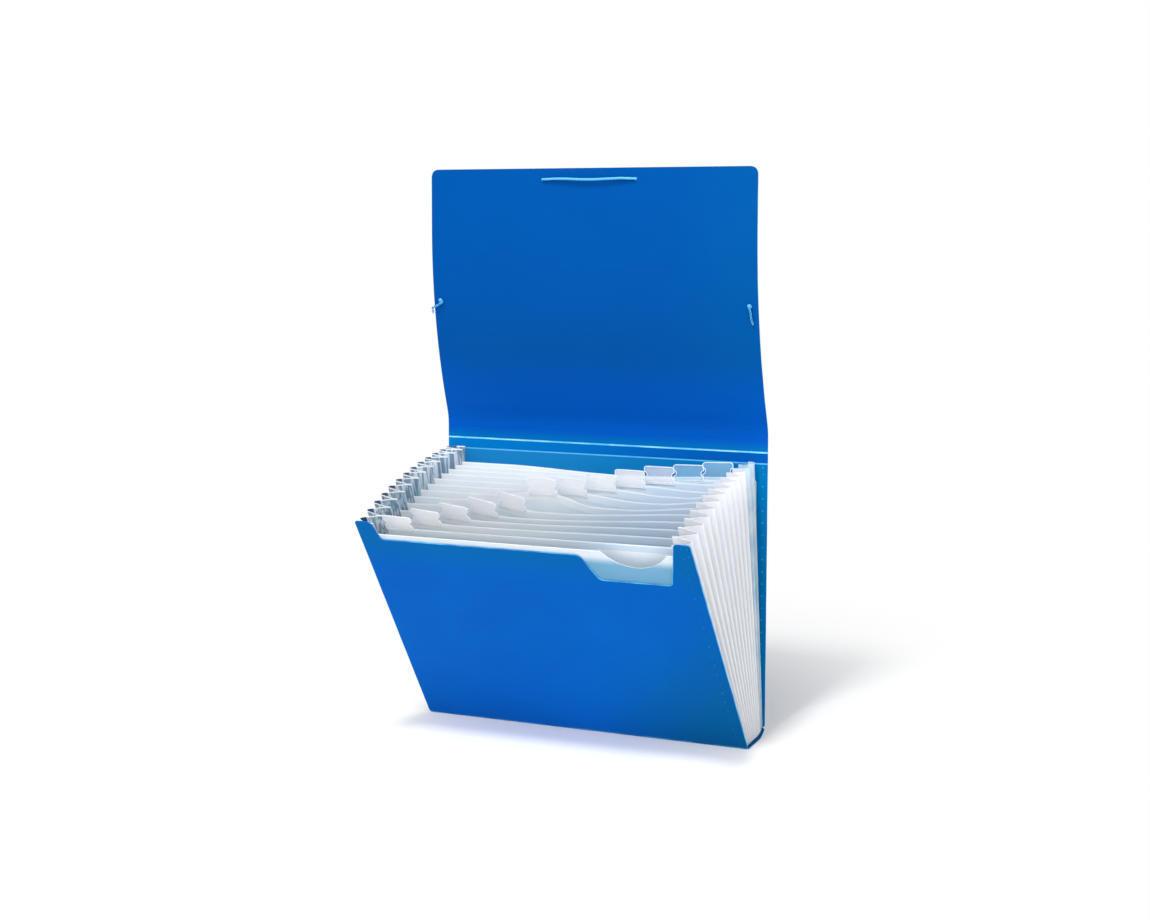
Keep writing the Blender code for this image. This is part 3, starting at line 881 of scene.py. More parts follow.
def add_seen(tree):
    """One for rays from the camera and for mirrored or refracted ones, else zero."""
    path = tree.nodes.new("ShaderNodeLightPath")
    seen = path.outputs["Is Camera Ray"]
    for name in ("Is Glossy Ray", "Is Transmission Ray"):
        seen = add_math(tree, "MAXIMUM", seen, path.outputs[name])
    return seen


def mix_shaders(tree, factor, first, second):
    """Shader that goes from first to second as factor goes from 0 to 1."""
    mix = tree.nodes.new("ShaderNodeMixShader")
    tree.links.new(factor, mix.inputs["Fac"])
    tree.links.new(first, mix.inputs[1])
    tree.links.new(second, mix.inputs[2])
    return mix.outputs["Shader"]


def fade(axis, start, end, strength=1.0):
    """Recipe for a smooth fade along one axis of a piece, from none at start to strength at end."""
    def build(tree, source):
        split = tree.nodes.new("ShaderNodeSeparateXYZ")
        tree.links.new(source.outputs["Object"], split.inputs["Vector"])
        return add_remap(tree, split.outputs[axis], start, end, 0.0, strength, smooth=True)

    return build


def spot(middle, start, end):
    """Recipe for a round fade about a place, from none at distance start to full at distance end."""
    def build(tree, source):
        away = tree.nodes.new("ShaderNodeVectorMath")
        away.operation = "DISTANCE"
        away.inputs[1].default_value = middle
        tree.links.new(source.outputs["Object"], away.inputs[0])
        return add_remap(tree, away.outputs["Value"], start, end, 0.0, 1.0, smooth=True)

    return build


def streaks(stretch):
    """Recipe for streaks: a noise stretched along the axes and kept where it is high."""
    def build(tree, source):
        return add_remap(tree, add_noise(tree, source, 1.0, 1.0, stretch), *STREAK_SHADE_RANGE, 0.0, 1.0)

    return build


# Finishes of the sheets, as keywords for sheet_finish
FILM = {"tint": "film_tint", "roughness": 0.42, "gloss": 0.2, "clouds": 25.0}
PLEAT = {"roughness": 0.42, "gloss": 0.2, "clouds": 35.0}
TAB = {"tint": 0.96, "roughness": 0.22, "gloss": 0.3, "clouds": 60.0, "grain": 0.1}
SHEET_FINISHES = {
    "cover_blue": dict(colour="cover", tint="cover_tint", roughness=0.38, shades=[
        # Painted light along the cover's top.
        (fade("Z", 0.160, 0.200, 0.8), "cover_top_glow"),
        # Painted shade at the cover's right side and in its lower right corner.
        (fade("X", 0.125, 0.165, 0.35), "cover_shade"),
        (spot((0.165, -0.012, 0.0), 0.17, 0.02), "cover_shade"),
    ]),
    "inside_blue": dict(colour="inside", tint="inside", roughness=0.40, shades=[
        # Painted shade towards the back cover's right.
        (fade("X", -0.14, 0.16), "inside_right_shade"),
    ]),
    "lid_blue": dict(colour="lid", tint="lid_tint", roughness=0.36, streak=0.10, shades=[
        # Painted light along the lid's right side.
        (fade("X", 0.06, 0.165, 0.6), "lid_right_light"),
        # Painted light low on the flap.
        (fade("Z", FLAP_FOOT + 0.075, FLAP_FOOT + 0.01), "lid_low_light"),
        # Painted light just above the second scored line.
        (fade("Z", SECOND_LINE + 0.011, SECOND_LINE + 0.001), "strip_light"),
    ]),
    # Painted light: the first strip is a lighter blue than the lid.
    "strip_blue": dict(colour="strip", tint="strip", roughness=0.36, streak=0.10, shades=[
        # Painted shade towards the strip's right.
        (fade("X", -0.14, 0.15), "strip_right"),
    ]),
    # Painted light on the cut edges.
    "edge_glow": dict(colour="edge_glow", tint="cover", roughness=0.30, clouds=40.0),
    "crease_pale": dict(colour="crease", tint="edge_glow", roughness=0.32, clouds=60.0),
    "crease_deep": dict(colour="crease_deep", tint=0.9, roughness=0.34, clouds=60.0),
    "divider_film": dict(FILM, colour="film", alpha=0.62, shades=[
        # Painted shade towards the fan's right.
        (fade("X", -0.02, 0.10), "film_right_shade"),
    ]),
    # Painted light: the first divider is whiter and more opaque than the others, for the light that reaches it through
    # the notch.
    "front_film": dict(FILM, colour="film_edge_highlight", alpha=0.90),
    # Painted light: a paler band along the top of each divider.
    "lit_top_film": dict(FILM, colour="film_edge_highlight", alpha=0.82, shades=[
        (fade("X", -0.02, 0.10, 0.8), "film_right_shade"),
    ]),
    "wall_film": dict(FILM, colour="film", alpha=0.55, shades=[
        # Painted shade down inside the notch.
        (fade("Z", 0.198, 0.188), "wall_blue"),
    ]),
    # Whitened cut edge and painted highlight along the film's top.
    "film_edge_highlight": dict(colour="film_edge_highlight", tint="film", roughness=0.35, alpha=0.95, gloss=0.2, clouds=60.0),
    "pleat_film": dict(PLEAT, colour="pleat", tint="pleat_tint", alpha=0.60),
    "pleat_clear": dict(PLEAT, colour="pleat_back", tint="film", roughness=0.40, alpha=0.38),
    # Left pleats: painted shade in their blue and in slate streaks down the folds.
    "pleat_left_shade": dict(PLEAT, colour="pleat_left_shade", tint="pleat", alpha=0.50, shades=[
        (streaks((420.0, 420.0, 9.0)), "pleat_streak_shade"),
    ]),
    # Painted shade inside the left fold tips.
    "pleat_tip_shade": dict(colour="pleat_tip_shade", tint=2.0, roughness=0.5, clouds=120.0),
    # Painted shade in the right pleats' valleys.
    "pleat_shade": dict(PLEAT, colour="pleat_shade", tint="pleat", roughness=0.45, alpha=0.6),
    "tab_milky": dict(TAB, colour="tab", alpha=0.55),
    "tab_frosted": dict(TAB, colour="tab", alpha=0.28),
    "tab_clear": dict(TAB, colour="tab_blue", alpha=0.20),
    "weld_blue": dict(colour="weld", tint="cover", roughness=0.30, clouds=200.0),
    "weld_light": dict(colour="weld_light", tint="weld", roughness=0.30, clouds=200.0),
}


def colour_of(name):
    """Colour of the property group by name."""
    return tuple(getattr(bpy.context.scene.file_colours, name))


def scaled(colour, factor):
    """Colour made lighter or darker by a factor."""
    return tuple(factor * channel for channel in colour)


def start_finish(name, roughness, alpha=1.0, gloss=0.02):
    """New finish with its shader and its coordinates."""
    material = bpy.data.materials.new(name)
    material.use_nodes = True
    tree = material.node_tree
    shader = tree.nodes["Principled BSDF"]
    shader.inputs["Alpha"].default_value = alpha
    shader.inputs["Specular IOR Level"].default_value = gloss
    shader.inputs["Roughness"].default_value = roughness
    return material, tree, shader, tree.nodes.new("ShaderNodeTexCoord")


def sheet_finish(
    name, colour, tint, roughness, alpha=1.0, gloss=0.02, grain=0.35, streak=0.08, clouds=9.0, shades=(),
):
    """Plastic sheet: two tones in broad clouds, fades to other tones, a fine grain and faint streaks.

    The tint is the name of the second tone, or a factor on the first.
    """
    material, tree, shader, source = start_finish(name, roughness, alpha, gloss)
    main_tone = colour_of(colour)
    second_tone = colour_of(tint) if isinstance(tint, str) else scaled(main_tone, tint)
    cloud = add_noise(tree, source, clouds, CLOUD_DETAIL)
    tone = add_ramp(tree, cloud, CLOUD_STOPS, (second_tone, main_tone))
    for recipe, shade in shades:
        tone = add_mix(tree, recipe(tree, source), tone, colour_of(shade))
    tree.links.new(tone, shader.inputs["Base Color"])
    sheen = add_noise(tree, source, SHEEN_SCALE, FINE_DETAIL)
    spread = add_remap(tree, sheen, *SHEEN_RANGE, roughness - SHEEN_SPREAD, roughness + SHEEN_SPREAD)
    tree.links.new(spread, shader.inputs["Roughness"])
    fine = add_bump(tree, add_noise(tree, source, GRAIN_SCALE, FINE_DETAIL), grain, GRAIN_DEPTH)
    lines = add_noise(tree, source, 1.0, FINE_DETAIL, STREAK_STRETCH)
    broad = add_bump(tree, lines, streak, STREAK_DEPTH)
    tree.links.new(fine.outputs["Normal"], broad.inputs["Normal"])
    tree.links.new(broad.outputs["Normal"], shader.inputs["Normal"])
    return material


def elastic_finish(name):
    """Braided elastic: two sets of crossing strands over the round of the cord, with painted shade in the low places
    between them.
    """
    material, tree, shader, source = start_finish(name, BRAID_ROUGHNESS, gloss=BRAID_GLOSS)
    heights = []
    for stretch in BRAID_STRETCHES:
        mapping = add_node(tree, "ShaderNodeMapping", Scale=stretch)
        strands = add_node(tree, "ShaderNodeTexWave", Scale=1.0, Distortion=BRAID_DISTORTION)
        strands.bands_direction = "DIAGONAL"
        tree.links.new(source.outputs["UV"], mapping.inputs["Vector"])
        tree.links.new(mapping.outputs["Vector"], strands.inputs["Vector"])
        heights.append(strands.outputs["Fac"])
    braid = add_math(tree, "MAXIMUM", *heights)
    colour = colour_of("elastic")
    tone = add_ramp(tree, braid, BRAID_STOPS, (scaled(colour, BRAID_GROOVE_SHADE), colour))
    tree.links.new(tone, shader.inputs["Base Color"])
    relief = add_bump(tree, braid, BRAID_STRENGTH, BRAID_DEPTH)
    tree.links.new(relief.outputs["Normal"], shader.inputs["Normal"])
    return material


def floor_finish(name):
    """Matt white floor that keeps the shadow about the file and fades to plain white further out."""
    material, tree, shader, source = start_finish(name, FLOOR_ROUGHNESS)
    colour = colour_of("floor")
    cloud = add_noise(tree, source, FLOOR_CLOUDS, FINE_DETAIL)
    tone = add_ramp(tree, cloud, CLOUD_STOPS, (scaled(colour, FLOOR_DARK), colour))
    tree.links.new(tone, shader.inputs["Base Color"])
    white = add_node(tree, "ShaderNodeEmission", Color=WHITE, Strength=1.0)
    far = spot(SHADOW_MIDDLE, SHADOW_NEAR, SHADOW_FAR)(tree, source)
    share = add_math(tree, "MULTIPLY", add_seen(tree), far)
    mixed = mix_shaders(tree, share, shader.outputs["BSDF"], white.outputs["Emission"])
    tree.links.new(mixed, tree.nodes["Material Output"].inputs["Surface"])
    return material


def finish_of(name):
    """Finish by name, made the first time that it is asked for."""
    found = bpy.data.materials.get(name)
    if found:
        return found
    if name == "elastic":
        return elastic_finish(name)
    if name == "floor_white":
        return floor_finish(name)
    return sheet_finish(name, **SHEET_FINISHES[name])


def front_outline():
    """Outline of the front cover: two ears, a low top edge and a deep notch."""
    points = [
        (-HALF_WIDTH, CREASE_GAP), (HALF_WIDTH, CREASE_GAP),
        (HALF_WIDTH, FRONT_HEIGHT), (EAR_X, FRONT_HEIGHT),
        (NOTCH_RIGHT, NOTCH_FLOOR), (NOTCH_LEFT, NOTCH_FLOOR),
        (NOTCH_LEFT - NOTCH_SLOPE, TOP_EDGE), (EAR_SLOPE - EAR_X, TOP_EDGE),
        (-EAR_X, FRONT_HEIGHT), (-HALF_WIDTH, FRONT_HEIGHT),
    ]
    radii = [COVER_CORNER] * 4 + [CUT_CORNER] * 4 + [COVER_CORNER] * 2
    return round_corners(points, radii)


def make_covers(sizes):
    """Front cover, back cover, bottom spine and the two bottom creases."""
    sheet = sizes.cover_sheet
    blue = ("cover_blue", "edge_glow")
    lines = {"rows": spaced(*COVER_ROWS), "columns": spaced(*COVER_COLUMNS)}
    bm = cut_sheet(front_outline(), sheet, sheet_place(0), band=sizes.glow_band, **lines)
    front = new_piece("front_cover_sheet", bm, blue, COVER_SLOT, ["front_cover"])
    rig.ride(front, "front")
    corners = sheet_corners(CREASE_GAP, BACK_HEIGHT - CREASE_WIDTHS[0] / 2)
    outline = round_corners(corners, [COVER_CORNER, COVER_CORNER, 0.0, 0.0])
    bm = cut_sheet(outline, sheet, sheet_place(POCKETS), **lines)
    back = new_piece("back_cover_sheet", bm, ("inside_blue", "edge_glow"), COVER_SLOT, ["back_cover"])
    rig.ride(back, "back")
    shifts = [Vector((x, 0.0, 0.0)) for x in spaced(-HALF_WIDTH, HALF_WIDTH, SPINE_COLUMNS)]
    bm = shell([[point + shift for shift in shifts] for point in spine_profile(sheet)], sheet)
    spine = new_piece("bottom_spine_sheet", bm, blue, COVER_SLOT, ["bottom_spine"])
    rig.ride(spine, "base")
    reach = HALF_WIDTH - COVER_CORNER / 2
    for name, crease in (("front_crease_bead", FRONT_CREASE), ("back_crease_bead", BACK_CREASE)):
        bm = bmesh.new()
        line = [crease + Vector((x, 0.0, 0.0)) for x in spaced(-reach, reach, BEAD_STEPS)]
        tube(bm, line, sheet * BEAD_SHARE)
        bead = new_piece(name, bm, ["cover_blue"], COVER_SLOT)
        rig.ride(bead, "base")


def spine_profile(sheet):
    """Points of the bottom spine from the front crease to the back one: flat, then curved up."""
    flat_end = Vector((0.0, FLAT_BASE / 2, sheet / 2))
    span = BACK_CREASE - flat_end
    radius = spine_radius()
    full_turn = 2 * math.atan2(span.z, span.y) - CREASE_GAP / radius
    start = FRONT_CREASE + Vector((0.0, CREASE_GAP, 0.0))
    points = [start.lerp(flat_end, share) for share in spaced(0.0, 1.0, SPINE_FLAT_STEPS)]
    for turn in spaced(0.0, full_turn, SPINE_CURVE_STEPS)[1:]:
        points.append(flat_end + Vector((0.0, math.sin(turn), 1 - math.cos(turn))) * radius)
    return points


def spine_radius():
    """Radius of the bottom spine's curve from its flat part up to the back crease."""
    span = BACK_CREASE - Vector((0.0, FLAT_BASE / 2, FRONT_CREASE.z))
    return span.length / (2 * math.sin(math.atan2(span.z, span.y)))


def make_lid(sizes):
    """Lid strips, the bowed flap and the scored creases between them."""
    make_strips(sizes.cover_sheet)
    make_flap(sizes.cover_sheet)
    make_webs(sizes.cover_sheet)


def make_strips(sheet):
    """Three strips of the lid's spine, the first one painted a lighter blue as painted light."""
    for number, crease in enumerate(LID_CREASES[:-1]):
        low = CREASE_WIDTHS[number] / 2
        high = STRIP_HEIGHT - CREASE_WIDTHS[number + 1] / 2
        bm = cut_sheet(
            sheet_corners(low, high), sheet, strip_place(crease),
            rows=spaced(low, high, STRIP_STEPS)[1:-1], columns=spaced(*LID_COLUMNS),
        )
        looks = ("lid_blue" if number else "strip_blue", "edge_glow")
        name = f"lid_strip_{number + 1}"
        strip = new_piece(f"lid_strip_sheet_{number + 1}", bm, looks, LID_SLOT, [name])
        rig.ride(strip, name)


def make_flap(sheet):
    """Bowed flap with round top corners and its cord holes."""
    corners = sheet_corners(CREASE_WIDTHS[-1] / 2, FLAP_LENGTH)
    outline = round_corners(corners, [0.0, 0.0, FLAP_CORNER, FLAP_CORNER], FLAP_CORNER_STEPS)
    turns = spaced(0.0, 2 * math.pi, HOLE_STEPS)[:-1]
    holes = []
    for x, length in CORD_HOLES:
        rim = [(HOLE_RADIUS * math.cos(turn), HOLE_RADIUS * math.sin(turn)) for turn in turns]
        holes.append([(x + side, length + rise) for side, rise in rim])
    bm = cut_sheet(
        outline, sheet, flap_place, holes=holes,
        rows=spaced(*FLAP_FOOT_ROWS) + spaced(*FLAP_ROWS), columns=spaced(*LID_COLUMNS),
    )
    flap = new_piece("lid_flap_sheet", bm, ("lid_blue", "edge_glow"), LID_SLOT, ["lid_flap"])
    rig.ride(flap, "lid")


def make_webs(sheet):
    """Thin webs in the lid's four creases, each bending with the two sheets that it joins."""
    bodies = ["back", "lid_strip_1", "lid_strip_2", "lid_strip_3", "lid"]
    looks = ["crease_deep", "crease_pale", "lid_blue", "lid_blue"]
    columns = spaced(-HALF_WIDTH, HALF_WIDTH, WEB_COLUMNS)
    for number, crease in enumerate(LID_CREASES):
        half = CREASE_WIDTHS[number] / 2
        place = strip_place(crease)
        grid = [[place(x, rise, 0.0) for x in columns] for rise in spaced(-half, half, WEB_ROWS)]
        bm = shell(grid, sheet * WEB_SHARE)
        web = new_piece(f"lid_crease_web_{number + 1}", bm, [looks[number]] * 2, LID_SLOT)
        reach = along(BACK_LEAN) * half
        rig.blend(web, bodies[number], bodies[number + 1], crease - reach, crease + reach)


def strip_place(crease):
    """Function that puts (x, rise, offset) on the lid's spine, with rise counted from a crease."""
    below = (LID_CREASES[-1] - crease).length

    def place(x, rise, offset):
        offset -= foot_round(rise - below)
        return crease + Vector((x, 0.0, 0.0)) + along(BACK_LEAN) * rise + across(BACK_LEAN) * offset

    return place


def film_grid(place, top, columns, rows, bands):
    """Grid over a film sheet whose top edge is a function of x, with a narrow row for each band under it."""
    shares = spaced(0.0, 1.0, rows)
    lines = [[] for _ in range(len(shares) + len(bands))]
    for x in columns:
        edge = top(x)
        rises = [SHEET_FOOT + (edge - bands[0] - SHEET_FOOT) * share for share in shares]
        rises += [edge - depth for depth in bands[1:]] + [edge]
        for line, rise in zip(lines, rises):
            line.append(place(x, rise, 0.0))
    return lines


def corner_columns(half, count):
    """Places across a film sheet, closer together at its round top corners."""
    turns = spaced(0.0, math.pi / 2, SHEET_CORNER_STEPS)
    near = [half - SHEET_CORNER * (1 - math.sin(turn)) for turn in turns]
    inner = spaced(SHEET_CORNER - half, half - SHEET_CORNER, count)[1:-1]
    return [-x for x in reversed(near)] + inner + near


def corner_drop(x, half):
    """How far the round corner lowers the top edge of a film sheet at a place across it."""
    past = max(abs(x) - (half - SHEET_CORNER), 0.0)
    return SHEET_CORNER - math.sqrt(max(SHEET_CORNER ** 2 - past ** 2, 0.0))


def thumb_drop(x):
    """How far the thumb cut lowers the front wall's top edge."""
    radius = (THUMB_HALF_WIDTH ** 2 + THUMB_DEPTH ** 2) / (2 * THUMB_DEPTH)
    away = abs(x - THUMB_X)
    if away >= THUMB_HALF_WIDTH:
        return 0.0
    return THUMB_DEPTH - radius + math.sqrt(radius ** 2 - away ** 2)


def make_walls(sizes):
    """Film walls at the front and the back of the fan."""
    def front_top(x):
        return FIRST_TOP - max(corner_drop(x, WALL_HALF_WIDTH), thumb_drop(x))

    def back_top(x):
        sag = sizes.back_sag * swell(x, SAG_X, SAG_REACH)
        return sheet_top(POCKETS / 2) - max(corner_drop(x, BACK_WALL_HALF_WIDTH), sag)

    thumb = spaced(THUMB_X - THUMB_HALF_WIDTH, THUMB_X + THUMB_HALF_WIDTH, THUMB_STEPS)
    columns = sorted(corner_columns(WALL_HALF_WIDTH, WALL_COLUMNS) + thumb)
    cut = {number for number, x in enumerate(columns) if thumb_drop(x) > 0.0}
    grid = film_grid(
        sheet_place(0, shift=WALL_OFFSET), front_top, columns, WALL_STEPS, [sizes.edge_highlight_band / 2],
    )
    make_wall(sizes, "front", "wall_film", grid, cut)
    columns = corner_columns(BACK_WALL_HALF_WIDTH, WALL_COLUMNS)
    grid = film_grid(
        sheet_place(POCKETS, shift=-WALL_OFFSET), back_top, columns, WALL_STEPS, [sizes.edge_highlight_band / 2],
    )
    make_wall(sizes, "back", "divider_film", grid)


def make_wall(sizes, body, film, grid, plain=()):
    """One film wall, with a white band of whitened edge and painted highlight along its top edge except in the plain
    columns.
    """
    last = len(grid) - 2

    def look(side, row, column):
        return int(row == last and column not in plain)

    bm = shell(grid, sizes.film, look)
    wall = new_piece(f"{body}_wall_film", bm, (film, "film_edge_highlight"), FILM_SLOT, [f"{body}_wall"])
    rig.ride(wall, body)


def make_divider(sizes, index):
    """Wavy divider number index, which flattens as the fan closes."""
    height = sheet_top(index)
    bands = [sizes.lit_band_depth, sizes.edge_highlight_band]
    plain = DIVIDER_STEPS - 1

    def top(x):
        return height - corner_drop(x, DIVIDER_HALF_WIDTH)

    # Rows under the top edge take the painted light of the paler band, then the white edge band.
    def look(side, row, column):
        return max(row - plain, 0)

    place = sheet_place(index, divider_wave(sizes, index))
    columns = corner_columns(DIVIDER_HALF_WIDTH, DIVIDER_COLUMNS)
    bm = shell(film_grid(place, top, columns, DIVIDER_STEPS, bands), sizes.film, look)
    name = f"divider_{index:02d}"
    # The first divider takes the whiter film of painted light.
    film = "front_film" if index == 1 else "divider_film"
    divider = new_piece(f"{name}_film", bm, (film, "lit_top_film", "film_edge_highlight"), FILM_SLOT, [name])
    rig.ride(divider, name)
    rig.squash(divider, FAN_JOINT, across(sheet_lean(index)), sheet_foot(index), keep=0.08)


def tab_outline(sizes, centre, edge):
    """Index tab: a lap, a bite at each side and a rounded head."""
    half = sizes.tab_width / 2
    bite = sizes.tab_bite
    neck = edge + sizes.tab_neck
    head = edge + sizes.tab_rise
    side = [(half, edge - sizes.tab_lap)]
    for turn in spaced(0.0, math.pi, BITE_STEPS):
        side.append((half - bite * math.sin(turn), neck - bite * math.cos(turn)))
    side.append((half, head))
    outline = side + [(-x, rise) for x, rise in reversed(side)]
    radii = [0.0] * len(outline)
    radii[len(side) - 1] = radii[len(side)] = sizes.tab_corner
    return [(centre + x, rise) for x, rise in round_corners(outline, radii)]


def make_tab(sizes, index):
    """Clear index tab of divider number index, one step further along than the one in front."""
    centre = tab_centre(index)
    edge = sheet_top(index)
    place = sheet_place(index, divider_wave(sizes, index), TAB_OFFSET)
    bm = cut_sheet(
        tab_outline(sizes, centre, edge), sizes.tab_sheet, place, band=sizes.edge_highlight_band / 2,
        columns=spaced(centre - TAB_SLICES, centre + TAB_SLICES, TAB_SLICE_STEPS), rows=[edge],
    )
    up = along(sheet_lean(index))
    back = across(sheet_lean(index))
    for number in range(LAP_DOTS):
        x = centre + (number - LAP_DOTS // 2) * sizes.tab_width * LAP_DOT_STEP
        middle = place(x, edge - LAP_DOT_DROP, -sizes.tab_sheet / 2)
        add_dot(bm, middle, up, back * -1, LAP_DOT_RADIUS, LAP_DOT_HEIGHT)
    name = f"index_tab_{index:02d}"
    looks = (LAST_TABS.get(index, "tab_milky"), "film_edge_highlight")
    tab = new_piece(f"{name}_sleeve", bm, looks, TAB_SLOT, [name])
    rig.ride(tab, f"divider_{index:02d}")
    anchor = sheet_foot(index) + across(sheet_lean(index)) * TAB_OFFSET
    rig.squash(tab, FAN_JOINT, across(sheet_lean(index)), anchor, keep=0.08)


def add_dot(bm, middle, up, out, radius, height):
    """Low round weld dot on a sheet, added to a working mesh."""
    ways = circle(up.cross(out).normalized(), up, DOT_SIDES)
    rings = []
    for share, rise in DOT_RINGS:
        ring = [middle + way * (radius * share) + out * (height * rise) for way in ways]
        rings.append([bm.verts.new(point) for point in ring])
    faces = [bm.faces.new(rings[0]), bm.faces.new(rings[-1])]
    for low, high in zip(rings, rings[1:]):
        for step in range(DOT_SIDES):
            follow = (step + 1) % DOT_SIDES
            faces.append(bm.faces.new((low[step], low[follow], high[follow], high[step])))
    for face in faces:
        face.material_index = 1


def pleat_profile(number):
    """Pleat number across, as (x, share of the way from the sheet in front to the sheet behind)."""
    start = FLANGE_FOLD if number == 1 else PLEAT_FOLD
    end = FLANGE_FOLD if number == POCKETS else PLEAT_FOLD
    return start + [(x, 1.0 - share) for x, share in reversed(end[:-1])]


def pleat_foot(index):
    """Rise of the pleats' foot at sheet number index, just above the bottom spine."""
    foot = sheet_foot(index)
    radius = spine_radius()
    past = max(foot.y - FLAT_BASE / 2, 0.0)
    spine = FRONT_CREASE.z + radius - math.sqrt(radius ** 2 - past ** 2)
    return PLEAT_CLEAR - max(foot.z - spine, 0.0) / math.cos(sheet_lean(index))


def pleat_rise(index, share):
    """Rise at sheet number index of a place a share of the way up the pleats."""
    foot = pleat_foot(index)
    return foot + (PLEAT_TOP + FAN_LIFT * index / POCKETS - foot) * share


def pleat_grid(number, side, profile):
    """Points of pleat number on one side of the fan, from the foot to the top.

    On the right side the folds are drawn in towards the back of the fan.
    """
    front = sheet_place(number - 1, shift=FLANGE_OFFSET if number == 1 else PLEAT_GAP)
    back = sheet_place(number, shift=-FLANGE_OFFSET if number == POCKETS else -PLEAT_GAP)
    drawn_in = PLEAT_DRAWN_IN * ((number - 1) / (POCKETS - 1)) ** 2 if side > 0 else 0.0
    grid = []
    for share in PLEAT_ROWS:
        front_rise = pleat_rise(number - 1, share)
        back_rise = pleat_rise(number, share)
        line = []
        for x, between in profile:
            x -= max(x - VALLEY_X, 0.0) * drawn_in * share
            line.append(front(side * x, front_rise, 0.0).lerp(back(side * x, back_rise, 0.0), between))
        grid.append(line)
    return grid


def pleat_look(word, profile):
    """Function that picks a pleat's finish: 0 on its faces, 1 on its top band, 2 where shade is painted.

    The right pleats have painted shade in their valleys.  The left ones have the white band
    along the top and painted shade inside the tips of their folds.
    """
    def look(side, row, column):
        xs = [profile[column][0], profile[column + 1][0]]
        share = PLEAT_ROWS[row]
        if word == "right":
            return 2 if max(xs) < FOLD_X and share < SHADE_TOP else 0
        if min(xs) > FOLD_X and side == 1 and share >= TIP_START:
            return 2
        return int(share >= BAND_START)

    return look


def pleat_finishes(word, number):
    """Finishes of pleat number: its faces, its top band and where shade is painted."""
    if word == "left":
        return "pleat_left_shade", "film_edge_highlight", "pleat_tip_shade"
    if number > POCKETS - CLEAR_PLEATS:
        return "pleat_clear", "film_edge_highlight", "pleat_clear"
    return "pleat_film", "film_edge_highlight", "pleat_shade"


def pleat_parts(number):
    """Parts of pleat number, as (ending of the name, profile, two bodies, start and end of the bend).

    The middle pleat is in two parts, because its pocket opens to both sides of the base.
    """
    profile = pleat_profile(number)
    front, back = body_of_sheet(number - 1), body_of_sheet(number)
    middle = (sheet_foot(number - 1) + sheet_foot(number)) / 2
    reach = across((sheet_lean(number - 1) + sheet_lean(number)) / 2) * PLEAT_BLEND
    if number != MIDDLE_POCKET:
        return [("", profile, (front, back), middle - reach, middle + reach)]
    half = len(profile) // 2
    return [
        ("_front", profile[:half + 1], (front, "base"), middle - reach, middle),
        ("_back", profile[half:], ("base", back), middle, middle + reach),
    ]


def make_pleats(sizes):
    """Pleated film on both sides of the fan: one pleat to a pocket, bending with its two sheets."""
    for word, side in (("left", -1.0), ("right", 1.0)):
        for number in range(1, POCKETS + 1):
            looks = pleat_finishes(word, number)
            for ending, profile, pair, start, end in pleat_parts(number):
                bm = shell(pleat_grid(number, side, profile), sizes.film, pleat_look(word, profile))
                name = f"pleat_{word}_{number:02d}{ending}"
                pleat = new_piece(name, bm, looks, FILM_SLOT, [f"gusset_{word}"])
                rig.blend(pleat, *pair, start, end)


def body_of_sheet(index):
    """Body that sheet number index rides on, counted from the front cover."""
    if index == 0:
        return "front"
    if index == POCKETS:
        return "back"
    return f"divider_{index:02d}"


def cord_route():
    """Corners of the cord's route on the flap, as (x, length, offset), tails left out."""
    left, left_edge, right_edge, right = CORD_HOLES
    route = [(*left, -TAIL_OFFSET), (*left, CORD_OFFSET)]
    route += [(*left_edge, CORD_OFFSET), (*left_edge, -CORD_OFFSET)]
    for share in spaced(0.0, 1.0, WANDER_STEPS)[1:-1]:
        x, length = Vector(left_edge).lerp(Vector(right_edge), share)
        wander = CORD_WANDER * math.sin(WANDER_TURN * share)
        route.append((x, length + wander, -CORD_OFFSET - CORD_SLACK * math.sin(math.pi * share)))
    route += [(*right_edge, -CORD_OFFSET), (*right_edge, CORD_OFFSET)]
    return route + [(*right, CORD_OFFSET), (*right, -TAIL_OFFSET)]


def flap_path(places):
    """Path on the flap through (x, length, offset) places, with a round bend at each."""
    corners = [Vector(place) for place in places]
    path = corners[:1]
    shares = spaced(0.0, 1.0, RUN_STEPS)
    for before, corner, after in zip(corners, corners[1:], corners[2:]):
        into = (corner - before).normalized()
        away = (after - corner).normalized()
        cut = CORD_BEND * math.tan(into.angle(away) / 2)
        start = corner - into * cut
        path += [path[-1].lerp(start, share) for share in shares[1:-1]]
        path += bend(start, corner, corner + away * cut, CORNER_STEPS)
    path += [path[-1].lerp(corners[-1], share) for share in shares[1:]]
    return [flap_place(*place) for place in path]


def add_twist(bm, path, radius):
    """Two thin strands twisted round a path, as the end of a cut cord."""
    travel = 0.0
    strands = ([], [])
    for number, point in enumerate(path):
        before, after = neighbours(path, number)
        ahead = (after - before).normalized()
        side = ahead.orthogonal().normalized()
        other = ahead.cross(side)
        if number:
            travel += (point - before).length
        for strand, phase in zip(strands, (0.0, math.pi)):
            angle = travel / TWIST_LENGTH + phase
            away = side * math.cos(angle) + other * math.sin(angle)
            strand.append(point + away * (radius * TWIST_REACH_SHARE))
    for strand in strands:
        tube(bm, strand, radius * TWIST_STRAND_SHARE, STRAND_SIDES)


def knot_points(middle, up, out):
    """Closed loop of a small tight knot, its axis along out."""
    side = up.cross(out)
    points = []
    for turn in spaced(0.0, 2 * math.pi, KNOT_STEPS)[:-1]:
        reach = KNOT_REACH * (2.0 + math.cos(3 * turn))
        flat = side * (reach * math.cos(2 * turn)) + up * (reach * math.sin(2 * turn))
        points.append(middle + flat + out * (KNOT_DEPTH * math.sin(3 * turn)))
    return points


